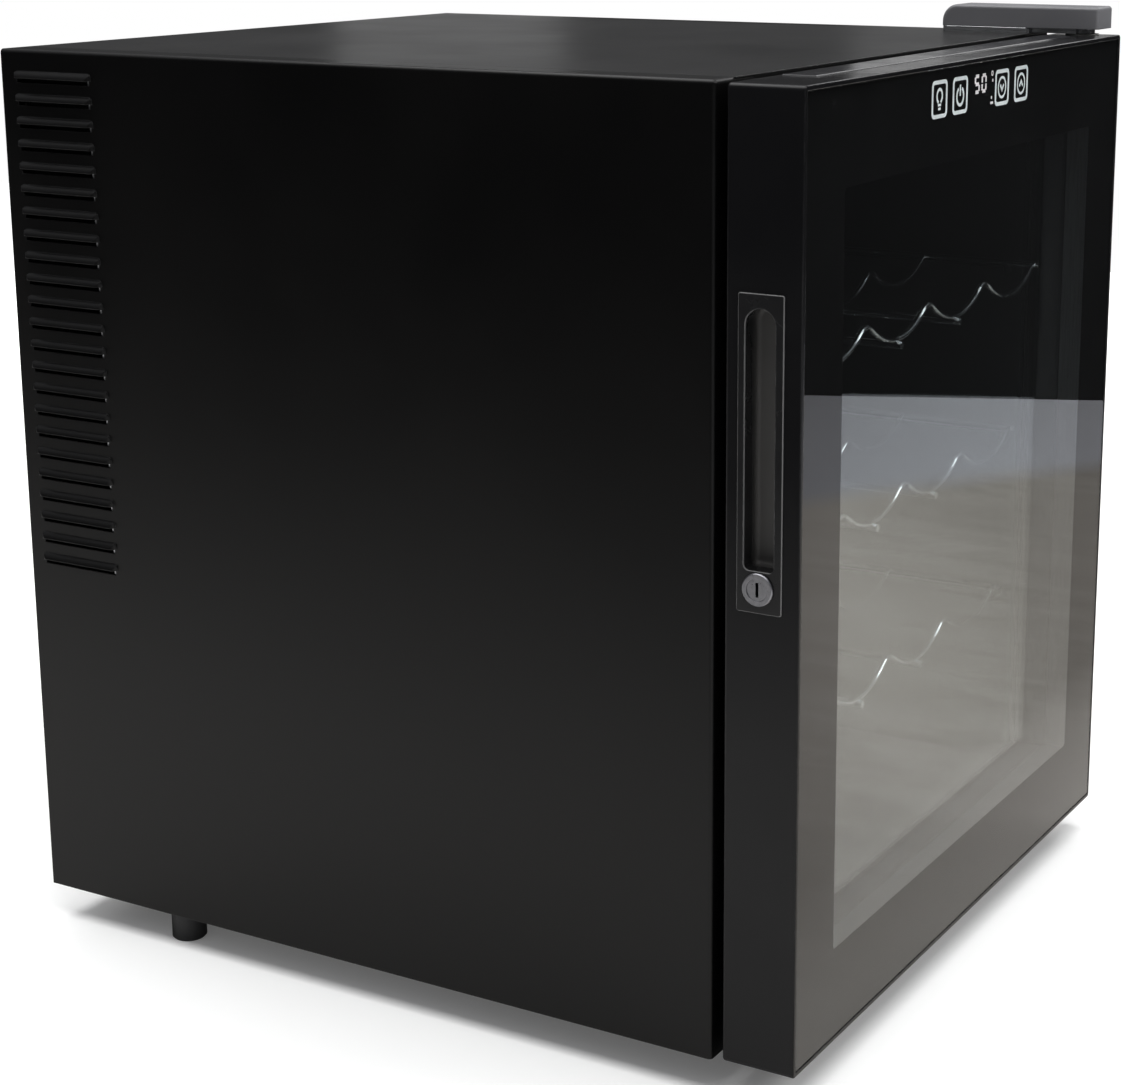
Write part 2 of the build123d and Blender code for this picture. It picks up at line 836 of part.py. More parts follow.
with BuildPart() as fan_screws:
    for x in (-fan_corner, fan_corner):
        for z in (fan_z - fan_corner, fan_z + fan_corner):
            bar_y(x, y_guard + guard_wire, y_guard + guard_wire + 2.0, z, 3.4)
            bar_y(x, y_rear_panel - 14.0, y_guard + guard_wire, z, 1.8)
save(fan_screws, "fan_screws")

# Power board on stand-offs, behind the foam at the bottom of the rear bay
board_length = 129.0
board_height = 80.0
board_x1 = half_width - 34.0
board_x0 = board_x1 - board_length
board_z0 = z_bottom + 24.0
board_z1 = board_z0 + board_height
y_board = y_foam_back + sheet + 8.0
with BuildPart() as power_board:
    block(board_x0, board_x1, y_board, y_board + 1.6, board_z0, board_z1)
    for x in (board_x0 + 6.0, board_x1 - 6.0):
        for z in (board_z0 + 6.0, board_z1 - 6.0):
            bar_y(x, y_foam_back + sheet, y_board + 0.2, z, 3.0)
    block(board_x0 + 20.0, board_x0 + 56.0, y_board + 1.4, y_board + 26.0, board_z0 + 30.0, board_z0 + 62.0)
    block(board_x0 + 66.0, board_x0 + 70.0, y_board + 1.4, y_board + 28.0, board_z0 + 12.0, board_z0 + 68.0)
    bar_y(board_x0 + 88.0, y_board + 1.4, y_board + 27.0, board_z0 + 22.0, 9.0)
    bar_y(board_x0 + 88.0, y_board + 1.4, y_board + 27.0, board_z0 + 46.0, 9.0)
    block(board_x0 + 14.0, board_x0 + 40.0, y_board + 1.4, y_board + 12.0, board_z0 + 4.0, board_z0 + 14.0)
    block(board_x0 + 104.0, board_x0 + 114.0, y_board + 1.4, y_board + 10.0, board_z0 + 20.0, board_z0 + 60.0)
save(power_board, "power_board")

# Power inlet: a recessed socket with three contacts
with BuildPart() as power_inlet:
    y_face = y_rear_panel + sheet
    block(inlet_x - 25.0, inlet_x + 25.0, y_face, y_face + 2.5, inlet_z - 13.0, inlet_z + 13.0)
    fillet(power_inlet.edges().filter_by(Axis.Y), 4.0)
    block(inlet_x - 14.0, inlet_x + 14.0, y_face - 22.0, y_face + 0.5, inlet_z - 10.0, inlet_z + 10.0)
    with BuildSketch(Plane(origin=(inlet_x, y_face + 2.5, inlet_z), x_dir=(1, 0, 0), z_dir=(0, -1, 0))):
        with BuildLine():
            Polyline(
                (-12.0, -8.2),
                (12.0, -8.2),
                (12.0, 3.6),
                (7.4, 8.2),
                (-7.4, 8.2),
                (-12.0, 3.6),
                (-12.0, -8.2),
            )
        make_face()
    extrude(amount=18.0, mode=Mode.SUBTRACT)
    for spot in ((-7.0, -2.0), (0, 2.0), (7.0, -2.0)):
        block(
            inlet_x + spot[0] - 1.0,
            inlet_x + spot[0] + 1.0,
            y_face - 17.0,
            y_face - 1.0,
            inlet_z + spot[1] - 2.0,
            inlet_z + spot[1] + 2.0,
        )
    for side in (-1, 1):
        bar_y(inlet_x + side * 20.0, y_face - 1.0, y_face + 4.0, inlet_z, 1.5 + hole_gap, mode=Mode.SUBTRACT)
save(power_inlet, "power_inlet")

with BuildPart() as inlet_screws:
    for side in (-1, 1):
        x = inlet_x + side * 20.0
        bar_y(x, y_face + 2.5, y_face + 4.2, inlet_z, 2.8)
        bar_y(x, y_face - 6.0, y_face + 2.5, inlet_z, 1.5)
save(inlet_screws, "inlet_screws")

# Lamp under the ceiling and the temperature sensor on the right wall
lamp_y = y_cabinet + 60.0
with BuildPart() as lamp_lens:
    block(-36.0, 36.0, lamp_y - 9.0, lamp_y + 9.0, z_ceiling - 7.0, z_ceiling)
    fillet(edges_at(lamp_lens, Axis.X, z=z_ceiling - 7.0), 4.0)
    block(-34.0, 34.0, lamp_y - 7.0, lamp_y + 7.0, z_ceiling - 3.5, z_ceiling + 1.0, mode=Mode.SUBTRACT)
save(lamp_lens, "lamp_lens")

with BuildPart() as lamp_board:
    block(-32.0, 32.0, lamp_y - 5.0, lamp_y + 5.0, z_ceiling - 1.6, z_ceiling)
    with Locations((0, lamp_y, z_ceiling - 2.2)):
        with GridLocations(12.0, 1.0, 5, 1):
            Box(4.0, 4.0, 1.6)
save(lamp_board, "lamp_board")

sensor_drop = 40.0
sensor_y = y_duct - 40.0
sensor_z = z_ceiling - sensor_drop
with BuildPart() as temperature_sensor:
    block(
        inside_half - 3.0,
        inside_half,
        sensor_y - 9.0,
        sensor_y + 9.0,
        sensor_z - 7.0,
        sensor_z + 7.0,
    )
    bar_y(inside_half - 4.5, sensor_y - 12.0, sensor_y + 12.0, sensor_z, 3.5)
    block(
        inside_half,
        inside_half + 4.0,
        sensor_y - 14.0,
        sensor_y + 14.0,
        sensor_z - 8.0,
        sensor_z + 8.0,
        mode=Mode.SUBTRACT,
    )
save(temperature_sensor, "temperature_sensor")

# Feet: two plain ones at the rear, two levelling ones at the front
with BuildPart() as rear_feet:
    for side in (-1, 1):
        post(side * rear_foot_x, rear_foot_y, 0, z_bottom, 10.0)
    chamfer(rear_feet.edges().filter_by(GeomType.CIRCLE).group_by(Axis.Z)[0], 1.0)
    for side in (-1, 1):
        post(side * rear_foot_x, rear_foot_y, z_bottom - 1.0, z_bottom + 7.0, 4.0)
save(rear_feet, "rear_feet")


def leveller(side):
    """Screw foot: a broad pad, a neck and a threaded stud."""
    x = side * leveller_x
    with BuildPart() as foot:
        post(x, leveller_y, 0, 10.0, 15.0)
        chamfer(foot.edges().filter_by(GeomType.CIRCLE), 1.2)
        post(x, leveller_y, 9.0, z_bottom - seat_gap, 8.0)
        post(x, leveller_y, z_bottom - 1.0, z_bottom + 25.0, stud_radius)
    return foot


leveller_left = leveller(-1)
save(leveller_left, "leveller_left")
leveller_right = leveller(1)
save(leveller_right, "leveller_right")

with BuildPart() as leveller_nuts:
    for side in (-1, 1):
        with BuildSketch(Plane.XY.offset(z_bottom + sheet)):
            with Locations((side * leveller_x, leveller_y)):
                RegularPolygon(8.0, 6)
                Circle(stud_radius + running_gap, mode=Mode.SUBTRACT)
        extrude(amount=8.0)
save(leveller_nuts, "leveller_nuts")

# Hinges: plates on the cabinet, pins fixed in them, bushes in the door
plate_top = z_top + hinge_plate_thickness
neck_end = y_cabinet + 2.0


def hinge_plate(low, high):
    """Flat leaf on the cabinet with a narrower neck and a round end that holds the pin."""
    with BuildPart() as leaf:
        block(hinge_plate_x0, hinge_plate_x1, neck_end, hinge_plate_y1, low, high)
        fillet(leaf.edges().filter_by(Axis.Z), 3.0)
        block(hinge_plate_x1 - hinge_neck, hinge_plate_x1, hinge_y, neck_end + 4.0, low, high)
        post(hinge_x, hinge_y, low, high, hinge_eye)
        post(hinge_x, hinge_y, low - 1, high + 1, hinge_pin_radius + 0.02, mode=Mode.SUBTRACT)
        for spot in hinge_screw_spots:
            post(spot[0], spot[1], low - 1, high + 1, 2.0 + hole_gap, mode=Mode.SUBTRACT)
    return leaf


top_hinge_plate = hinge_plate(z_top, plate_top)
save(top_hinge_plate, "top_hinge_plate")

with BuildPart() as top_hinge_pin:
    post(hinge_x, hinge_y, z_door_high - 18.0, plate_top, hinge_pin_radius)
    chamfer(top_hinge_pin.faces().sort_by(Axis.Z)[0].edges(), 0.8)
    post(hinge_x, hinge_y, plate_top, plate_top + 2.0, 6.0)
save(top_hinge_pin, "top_hinge_pin")

cover_top = plate_top + cover_height
with BuildPart() as hinge_cover:
    block(hinge_plate_x0, hinge_plate_x1, hinge_plate_y0, hinge_plate_y1, plate_top, cover_top)
    fillet(edges_at(hinge_cover, Axis.X, y=hinge_plate_y1, z=cover_top), cover_rear_round)
    rounded = edges_at(hinge_cover, Axis.X, y=hinge_plate_y0, z=cover_top)
    for face in hinge_cover.faces().filter_by(Axis.X):
        for edge in face.edges():
            if edge.center().Z > plate_top + 0.01:
                rounded.append(edge)
    fillet(rounded, cover_round)
    block(
        hinge_plate_x0 + 2.0,
        hinge_plate_x1 - 2.0,
        hinge_plate_y0 + 2.0,
        hinge_plate_y1 - 8.0,
        plate_top - 1.0,
        cover_top - 2.0,
        mode=Mode.SUBTRACT,
    )
save(hinge_cover, "hinge_cover")

plate_low = z_bottom - hinge_plate_thickness
bottom_hinge_plate = hinge_plate(plate_low, z_bottom)
save(bottom_hinge_plate, "bottom_hinge_plate")

with BuildPart() as bottom_hinge_pin:
    post(hinge_x, hinge_y, plate_low, z_door_low + 18.0, hinge_pin_radius)
    chamfer(bottom_hinge_pin.faces().sort_by(Axis.Z)[-1].edges(), 0.8)
    post(hinge_x, hinge_y, plate_low - 2.0, plate_low, 6.0)
save(bottom_hinge_pin, "bottom_hinge_pin")

with BuildPart() as hinge_screws:
    for spot in hinge_screw_spots:
        post(spot[0], spot[1], plate_top, plate_top + 2.4, 4.0)
        post(spot[0], spot[1], z_top - 9.0, plate_top, 2.0)
        post(spot[0], spot[1], plate_low - 2.4, plate_low, 4.0)
        post(spot[0], spot[1], plate_low, z_bottom + 9.0, 2.0)
save(hinge_screws, "hinge_screws")

# Keeper box behind the slot in the left panel's front flange
with BuildPart() as lock_keeper:
    block(
        cam_x0 - cam_room - 2.0,
        cam_x1 + cam_room + 2.0,
        y_cabinet + sheet,
        y_cabinet + 16.0,
        keeper_low - 3.0,
        keeper_high + 3.0,
    )
    block(
        cam_x0 - cam_room,
        cam_x1 + cam_room,
        y_cabinet,
        y_cabinet + 13.0,
        keeper_low,
        keeper_high,
        mode=Mode.SUBTRACT,
    )
save(lock_keeper, "lock_keeper")

# Door frame: rebated for the front glass, open in the middle, pocketed for what it carries
handle_y0 = y_front + 9.0
handle_y1 = y_door_back - 7.0
grip_y0 = handle_y0 + 2.4
grip_y1 = handle_y1 - 2.4
grip_low = handle_low + 3.0
grip_high = handle_high - 3.0
grip_depth = 17.0
barrel_radius = 7.2
board_half = 82.0
board_low = z_pane_high + 6.0
board_high = z_door_high - door_lip - 1.5
board_back = y_glass_back + 4.2
strip_x0 = -half_width + 50.0
strip_x1 = hinge_plate_x0 - 8.0
strip_y0 = y_door_back - 21.0
strip_y1 = y_door_back - 3.0
strip_sink = 3.0
bush_radius = 7.0
bush_depth = 20.0
with BuildPart() as door_frame:
    block(-half_width, half_width, y_front, y_door_back, z_door_low, z_door_high)
    fillet(door_frame.edges().filter_by(Axis.Y), door_corner)
    fillet(door_frame.faces().sort_by(Axis.Y)[-1].edges(), door_back_round)
    fillet(door_frame.faces().sort_by(Axis.Y)[0].edges(), door_front_round)
    block(
        -half_width + door_lip,
        half_width - door_lip,
        y_front - 1.0,
        y_glass_back,
        z_door_low + door_lip,
        z_door_high - door_lip,
        mode=Mode.SUBTRACT,
    )
    block(
        -pane_half,
        pane_half,
        y_front - 1.0,
        y_door_back + 1.0,
        z_pane_low,
        z_pane_high,
        mode=Mode.SUBTRACT,
    )
    block(
        -board_half - hole_gap,
        board_half + hole_gap,
        y_glass_back - 1.0,
        board_back,
        board_low - hole_gap,
        board_high + hole_gap,
        mode=Mode.SUBTRACT,
    )
    bar_y(0.5 * board_half, board_back - 1.0, strip_y0 + 6.0, board_high - 6.0, 2.5, mode=Mode.SUBTRACT)
    post(0.5 * board_half, strip_y0 + 6.0, board_high - 8.5, z_door_high, 2.5, mode=Mode.SUBTRACT)
    block(
        strip_x0 - hole_gap,
        strip_x1 + hole_gap,
        strip_y0 - hole_gap,
        strip_y1 + hole_gap,
        z_door_high - strip_sink,
        z_door_high + 1.0,
        mode=Mode.SUBTRACT,
    )
    post(hinge_x, hinge_y, z_door_high - bush_depth, z_door_high + 1, bush_radius + 0.02, mode=Mode.SUBTRACT)
    post(hinge_x, hinge_y, z_door_low - 1, z_door_low + bush_depth, bush_radius + 0.02, mode=Mode.SUBTRACT)
    block(
        -half_width - 1.0,
        -half_width + grip_depth,
        grip_y0 - hole_gap,
        grip_y1 + hole_gap,
        grip_low - hole_gap,
        grip_high + hole_gap,
        mode=Mode.SUBTRACT,
    )
    bar_x(-half_width - 1.0, cam_x0, lock_y, lock_z, barrel_radius + hole_gap, mode=Mode.SUBTRACT)
    block(
        cam_x0 - cam_room,
        cam_x1 + cam_room + 1.0,
        lock_y - 7.0,
        y_door_back + 1.0,
        lock_z - cam_length - 3.0,
        lock_z + 9.0,
        mode=Mode.SUBTRACT,
    )
save(door_frame, "door_frame")

glass_half = half_width - door_lip - pane_play
with BuildPart() as front_glass:
    block(
        -glass_half,
        glass_half,
        y_glass_front,
        y_glass_back,
        z_door_low + door_lip + pane_play,
        z_door_high - door_lip - pane_play,
    )
    chamfer(front_glass.faces().sort_by(Axis.Y)[0].edges(), 0.4)
save(front_glass, "front_glass")

pane_out = pane_half - pane_play
pane_low_out = z_pane_low + pane_play
pane_high_out = z_pane_high - pane_play
with BuildPart() as glass_spacer:
    ring(
        pane_out,
        pane_out - spacer_width,
        pane_low_out,
        pane_high_out,
        pane_low_out + spacer_width,
        pane_high_out - spacer_width,
        y_glass_back,
        y_pane_front,
    )
save(glass_spacer, "glass_spacer")

with BuildPart() as inner_glass:
    block(-pane_out, pane_out, y_pane_front, y_pane_back, pane_low_out, pane_high_out)
save(inner_glass, "inner_glass")

# Door liner: holds the inner glass from behind and takes the gasket's barb
liner_in = pane_half - 9.0
liner_low_in = z_pane_low + 9.0
liner_high_in = z_pane_high - 9.0
barb_in = pane_half - 6.5
barb_out = pane_half - 3.5
barb_depth = 5.0
with BuildPart() as door_liner:
    ring(
        pane_out,
        liner_in,
        pane_low_out,
        pane_high_out,
        liner_low_in,
        liner_high_in,
        y_pane_back,
        y_door_back,
    )
    ring(
        barb_out + hole_gap,
        barb_in - hole_gap,
        z_pane_low + 3.5 - hole_gap,
        z_pane_high - 3.5 + hole_gap,
        z_pane_low + 6.5 + hole_gap,
        z_pane_high - 6.5 - hole_gap,
        y_door_back - barb_depth - 0.5,
        y_door_back,
        mode=Mode.SUBTRACT,
    )
save(door_liner, "door_liner")

# Gasket: a soft ring with a barb, hollow at the back for the magnet strips
gasket_in = pane_half - 8.0
gasket_out = gasket_in + gasket_width
gasket_shift = gasket_in - pane_half
y_gasket = y_cabinet - seat_gap
channel_in = pane_half - 1.5
channel_out = gasket_out - 1.5
channel_depth = 3.6
with BuildPart() as door_gasket:
    ring(
        gasket_out,
        gasket_in,
        z_pane_low - gasket_shift - gasket_width,
        z_pane_high + gasket_shift + gasket_width,
        z_pane_low - gasket_shift,
        z_pane_high + gasket_shift,
        y_door_back,
        y_gasket,
    )
    fillet(edges_at(door_gasket, Axis.Z, y=y_gasket) + edges_at(door_gasket, Axis.X, y=y_gasket), 2.0)
    ring(
        barb_out,
        barb_in,
        z_pane_low + 3.5,
        z_pane_high - 3.5,
        z_pane_low + 6.5,
        z_pane_high - 6.5,
        y_door_back - barb_depth,
        y_door_back + 0.5,
    )
    ring(
        channel_out,
        channel_in,
        z_pane_low - (channel_out - pane_half),
        z_pane_high + (channel_out - pane_half),
        z_pane_low + (pane_half - channel_in),
        z_pane_high - (pane_half - channel_in),
        y_door_back - 0.5,
        y_door_back + channel_depth,
        mode=Mode.SUBTRACT,
    )
save(door_gasket, "door_gasket")

strip_in = channel_in + 0.3
strip_out = channel_out - 0.3
magnet_thickness = channel_depth - 0.2
with BuildPart() as gasket_magnets:
    low = z_pane_low - (strip_out - pane_half)
    high = z_pane_high + (strip_out - pane_half)
    low_in = z_pane_low + (pane_half - strip_in)
    high_in = z_pane_high - (pane_half - strip_in)
    for side in (-1, 1):
        block(
            side * strip_in,
            side * strip_out,
            y_door_back,
            y_door_back + magnet_thickness,
            low_in + 1.0,
            high_in - 1.0,
        )
    block(-strip_out, strip_out, y_door_back, y_door_back + magnet_thickness, low, low_in)
    block(-strip_out, strip_out, y_door_back, y_door_back + magnet_thickness, high_in, high)
save(gasket_magnets, "gasket_magnets")

# Handle insert: a bezel on the side of the door with a finger pocket
bezel = 1.0
bezel_corner = 1.2
bezel_round = 0.5
slot_half = 8.2
slot_low = lock_z + 8.6
slot_high = handle_high - 7.0
slot_bend = slot_high - slot_half
slot_middle = (slot_low + slot_bend) / 2
slot_depth = 14.0
slot_corner = 3.0
slot_floor_round = 2.4
with BuildPart() as handle_insert:
    with BuildSketch(Plane(origin=(-half_width, 0, 0), x_dir=(0, -1, 0), z_dir=(-1, 0, 0))):
        with Locations((-(handle_y0 + handle_y1) / 2, (handle_low + handle_high) / 2)):
            RectangleRounded(handle_y1 - handle_y0, handle_high - handle_low, bezel_corner)
    extrude(amount=bezel)
    fillet(handle_insert.faces().sort_by(Axis.X)[0].edges(), bezel_round)
    block(-half_width - 0.2, -half_width + grip_depth - 0.5, grip_y0, grip_y1, grip_low, grip_high)
    with BuildSketch(Plane(origin=(-half_width - bezel, 0, 0), x_dir=(0, -1, 0), z_dir=(-1, 0, 0))):
        with Locations((-lock_y, slot_middle)):
            Rectangle(2 * slot_half, slot_bend - slot_low)
        with Locations((-lock_y, slot_bend)):
            Circle(slot_half)
    extrude(amount=-slot_depth, mode=Mode.SUBTRACT)
    fillet(edges_at(handle_insert, Axis.X, z=slot_low), slot_corner)
    pocket_floor = handle_insert.faces().filter_by(Axis.X).sort_by_distance(
        (-half_width - bezel + slot_depth, lock_y, slot_middle)
    )[0]
    fillet(pocket_floor.edges(), slot_floor_round)
    bar_x(
        -half_width - bezel - 1.0,
        -half_width + grip_depth + 1.0,
        lock_y,
        lock_z,
        barrel_radius + 0.05,
        mode=Mode.SUBTRACT,
    )
save(handle_insert, "handle_insert")

# Lock: a fixed barrel, a turning plug and a cam that swings into the keeper
plug_radius = 5.5
flange_face = -half_width - bezel - 1.4
with BuildPart() as lock_barrel:
    bar_x(flange_face, -half_width - bezel, lock_y, lock_z, 8.2)
    chamfer(edges_at(lock_barrel, Axis.X) + lock_barrel.faces().sort_by(Axis.X)[0].edges(), 0.5)
    bar_x(-half_width - bezel, cam_x0 - 2.2, lock_y, lock_z, barrel_radius)
    bar_x(flange_face - 1.0, cam_x0, lock_y, lock_z, plug_radius + running_gap, mode=Mode.SUBTRACT)
save(lock_barrel, "lock_barrel")

with BuildPart() as lock_plug:
    bar_x(flange_face + 0.3, cam_x0 - 0.4, lock_y, lock_z, plug_radius)
    bar_x(cam_x0 - 0.6, cam_x1 + 2.2, lock_y, lock_z, 3.0)
    block(
        flange_face - 1.0,
        flange_face + 11.0,
        lock_y - 0.8,
        lock_y + 0.8,
        lock_z - 3.6,
        lock_z + 3.6,
        mode=Mode.SUBTRACT,
    )
save(lock_plug, "lock_plug")

with BuildPart() as lock_cam:
    with BuildSketch(Plane(origin=(cam_x0, lock_y, lock_z), x_dir=(0, -1, 0), z_dir=(-1, 0, 0))):
        Circle(6.0)
        with Locations((0, -cam_length / 2)):
            Rectangle(8.0, cam_length)
        Circle(3.0 + 0.02, mode=Mode.SUBTRACT)
    extrude(amount=-(cam_x1 - cam_x0))
    fillet(edges_at(lock_cam, Axis.X, z=lock_z - cam_length), 2.0)
save(lock_cam, "lock_cam")

with BuildPart() as cam_nut:
    with BuildSketch(Plane(origin=(cam_x1, lock_y, lock_z), x_dir=(0, -1, 0), z_dir=(-1, 0, 0))):
        RegularPolygon(5.4, 6)
        Circle(3.0 + 0.02, mode=Mode.SUBTRACT)
    extrude(amount=-2.0)
save(cam_nut, "cam_nut")

# Controls behind the top of the front glass
board_thickness = 1.6
y_board_front = board_back - board_thickness
key_spots = (-58.0, -31.0, 27.0, 55.0)
key_z = z_door_high - 18.0
with BuildPart() as control_board:
    block(-board_half, board_half, y_board_front, board_back, board_low, board_high)
    for x in (-board_half + 10.0, board_half - 10.0):
        block(x - 4.0, x + 4.0, y_board_front - 1.2, y_board_front + 0.2, board_low + 5.0, board_low + 13.0)
save(control_board, "control_board")

with BuildPart() as display_module:
    block(-14.0, 9.0, y_glass_back + 0.1, y_board_front, key_z - 7.0, key_z + 7.0)
save(display_module, "display_module")

with BuildPart() as touch_sensors:
    for x in key_spots:
        bar_y(x, y_glass_back, y_board_front, key_z, 6.0)
save(touch_sensors, "touch_sensors")

# Cover strip over the wiring channel in the door's top
with BuildPart() as control_cover:
    block(strip_x0, strip_x1, strip_y0, strip_y1, z_door_high - strip_sink, z_door_high + 0.5)
    chamfer(control_cover.faces().sort_by(Axis.Z)[-1].edges(), 0.4)
save(control_cover, "control_cover")


def hinge_bush(z_edge, inward):
    """Flanged bush in the door: inward is -1 at the top edge and +1 at the bottom edge."""
    with BuildPart() as bush:
        post(hinge_x, hinge_y, z_edge, z_edge + inward * (bush_depth - 0.2), bush_radius)
        post(hinge_x, hinge_y, z_edge, z_edge - inward * 0.7, 10.0)
        post(
            hinge_x,
            hinge_y,
            z_edge - inward * 2.0,
            z_edge + inward * (bush_depth - 1.2),
            hinge_pin_radius + running_gap,
            mode=Mode.SUBTRACT,
        )
    return bush


top_bush = hinge_bush(z_door_high, -1)
save(top_bush, "top_bush")
bottom_bush = hinge_bush(z_door_low, 1)
save(bottom_bush, "bottom_bush")


def rack(front, peak):
    """Welded wire rack: waved cross wires on two side rails and two lower rods."""
    valley_angle = 2 * atan(wave_depth / (rack_pitch / 2))
    valley_radius = (rack_pitch / 2) / sin(valley_angle) - peak_radius
    with BuildPart() as shelf:
        wave_plane = Plane(origin=(0, front + first_wire, peak), x_dir=(1, 0, 0), z_dir=(0, -1, 0))
        with BuildLine(wave_plane) as wave:
            x = -rack_half
            for index in range(rack_waves):
                lean = degrees(valley_angle)
                CenterArc((x, -peak_radius), peak_radius, 90, -lean)
                middle = x + rack_pitch / 2
                CenterArc((middle, valley_radius - wave_depth), valley_radius, 270 - lean, 2 * lean)
                x = x + rack_pitch
                CenterArc((x, -peak_radius), peak_radius, 90 + lean, -lean)
        wire_start = (-rack_half, front + first_wire, peak)
        with BuildSketch(Plane(origin=wire_start, x_dir=(0, 1, 0), z_dir=(1, 0, 0))):
            Circle(wave_radius)
        wire = sweep(path=wave.wires()[0], mode=Mode.PRIVATE)
        step = (rack_depth - 2 * first_wire) / (cross_wires - 1)
        with Locations(*[(0, index * step, 0) for index in range(cross_wires)]):
            add(wire)
        for x in (-rack_half, rack_half):
            bar_y(x, front, front + rack_depth, peak, rail_radius)
        low = peak - wave_depth - wave_radius - rail_radius + 0.6
        for x in (-rack_pitch / 2, rack_pitch / 2):
            bar_y(x, front, front + rack_depth, low, rail_radius)
    return shelf


rack_bottom = rack(y_cabinet + 5.0, rack_peaks[0])
save(rack_bottom, "rack_bottom")
rack_middle = rack(y_cabinet - 2.0, rack_peaks[1])
save(rack_middle, "rack_middle")
rack_top = rack(y_cabinet - 14.0, rack_peaks[2])
save(rack_top, "rack_top")
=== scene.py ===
import json
import math

import bmesh
import bpy
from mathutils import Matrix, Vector


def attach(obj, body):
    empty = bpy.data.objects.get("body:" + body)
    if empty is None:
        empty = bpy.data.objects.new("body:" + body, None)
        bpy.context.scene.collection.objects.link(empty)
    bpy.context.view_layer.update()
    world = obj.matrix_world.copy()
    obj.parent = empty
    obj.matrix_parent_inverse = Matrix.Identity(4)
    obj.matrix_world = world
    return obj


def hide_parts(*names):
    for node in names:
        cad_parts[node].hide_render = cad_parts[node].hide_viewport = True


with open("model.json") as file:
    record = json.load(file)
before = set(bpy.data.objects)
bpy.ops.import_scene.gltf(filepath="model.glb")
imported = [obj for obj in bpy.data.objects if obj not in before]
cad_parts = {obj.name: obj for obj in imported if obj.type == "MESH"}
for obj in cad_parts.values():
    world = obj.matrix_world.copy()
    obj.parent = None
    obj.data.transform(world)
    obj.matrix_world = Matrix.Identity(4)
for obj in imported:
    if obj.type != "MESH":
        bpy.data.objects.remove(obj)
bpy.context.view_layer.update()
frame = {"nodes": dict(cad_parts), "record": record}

# Lengths that end in _MM are millimetres in the cooler's own frame: front is -Y, up is +Z. Others are metres.
MM = 0.001

# Camera, set from the corners of the cooler in the photograph.
CAMERA_PLACE = (-1.17117, -0.71329, 0.59551)
CAMERA_TURN_DEG = (76.9225, 0.0498, -60.5239)
CAMERA_LENS = 75.694
CAMERA_SENSOR = 36.0
CAMERA_SHIFT = (-0.09322, -0.09590)
CAMERA_CLIP = (0.02, 60.0)

# Studio floor: its size, its two tones, and the glow that rises with the distance from the cooler.
FLOOR_X = (-2.6, 2.4)
FLOOR_Y = (-3.2, 3.0)
FLOOR_TONES = ((0.93, 0.93, 0.92), (0.96, 0.96, 0.95))
FLOOR_GLOW = ((0.10, 0.10, 0.10), (0.8, 0.8, 0.8))
FLOOR_GLOW_REACH = (1.0, 2.2)

# Cards that stand for the floor in the gloss of the door, the sides and the rear.
CARD_HEIGHT = 0.002
CARD_PALE = (0.86, 0.845, 0.82)
CARD_DARK = (0.008, 0.008, 0.008)
CARD_WHITE = (0.95, 0.95, 0.95)
WHITE_CARD = ((-2.4, -2.6), (-0.30, -2.6), (-0.30, -0.8), (-2.4, -0.8))
SIDE_CARD = (
    (-5.0, -0.8), (-0.30, -0.8), (-0.30, -0.245), (-0.215, -0.245),
    (-0.215, 0.30), (-0.30, 0.30), (-0.30, 4.0), (-5.0, 4.0),
)
RIGHT_CARD = ((0.215, -0.2), (3.5, -0.2), (3.5, 3.5), (0.30, 3.5), (0.30, 0.30), (0.215, 0.30))
REAR_CARD = (
    (-0.30, 0.30), (-0.215, 0.30), (-0.215, 0.245), (0.215, 0.245),
    (0.215, 0.30), (0.30, 0.30), (0.30, 3.5), (-0.30, 3.5),
)

# Each fading card: corners, the way it darkens, and the distances where that starts and ends.
FADING_CARDS = {
    "side_card": (SIDE_CARD, (-1.0, 0.0, 0.0), (0.60, 1.45)),
    "right_card": (RIGHT_CARD, (1.0, 0.0, 0.0), (0.50, 1.8)),
    "rear_card": (REAR_CARD, (0.0, 1.0, 0.0), (0.60, 1.8)),
}

# The grey card before the door: tones of its streaks, and the way and range of each change of tone.
FRONT_CARD = ((-0.30, -3.2), (0.314, -3.2), (1.657, -0.245), (-0.30, -0.245))
FRONT_STREAK = (9.0, 2.5, 1.0)
FRONT_LIGHT = ((0.50, 0.465, 0.42), (0.60, 0.565, 0.52))
FRONT_DULL = ((0.33, 0.305, 0.275), (0.40, 0.375, 0.34))
FRONT_DULL_REACH = ((1.0, 1.7, 0.0), -0.40, -0.10)
FRONT_NEAR = (0.76, 0.72, 0.67)
FRONT_NEAR_REACH = ((0.0, -1.0, 0.0), 0.27, 0.36)
FRONT_FAR = (0.45, 0.455, 0.485)
FRONT_FAR_REACH = ((1.0, -1.41, 0.0), 1.90, 2.00)

# Tones of the room round the cooler, from straight down at 0 to straight up at 1.
ROOM_DOWN = (0.02, 0.02, 0.02)
ROOM_UP = (0.55, 0.56, 0.58)
ROOM_BANDS = ((0.49, 0.015), (0.53, 0.02), (0.60, 0.055), (0.75, 0.36))
ROOM_BLUE = 1.03

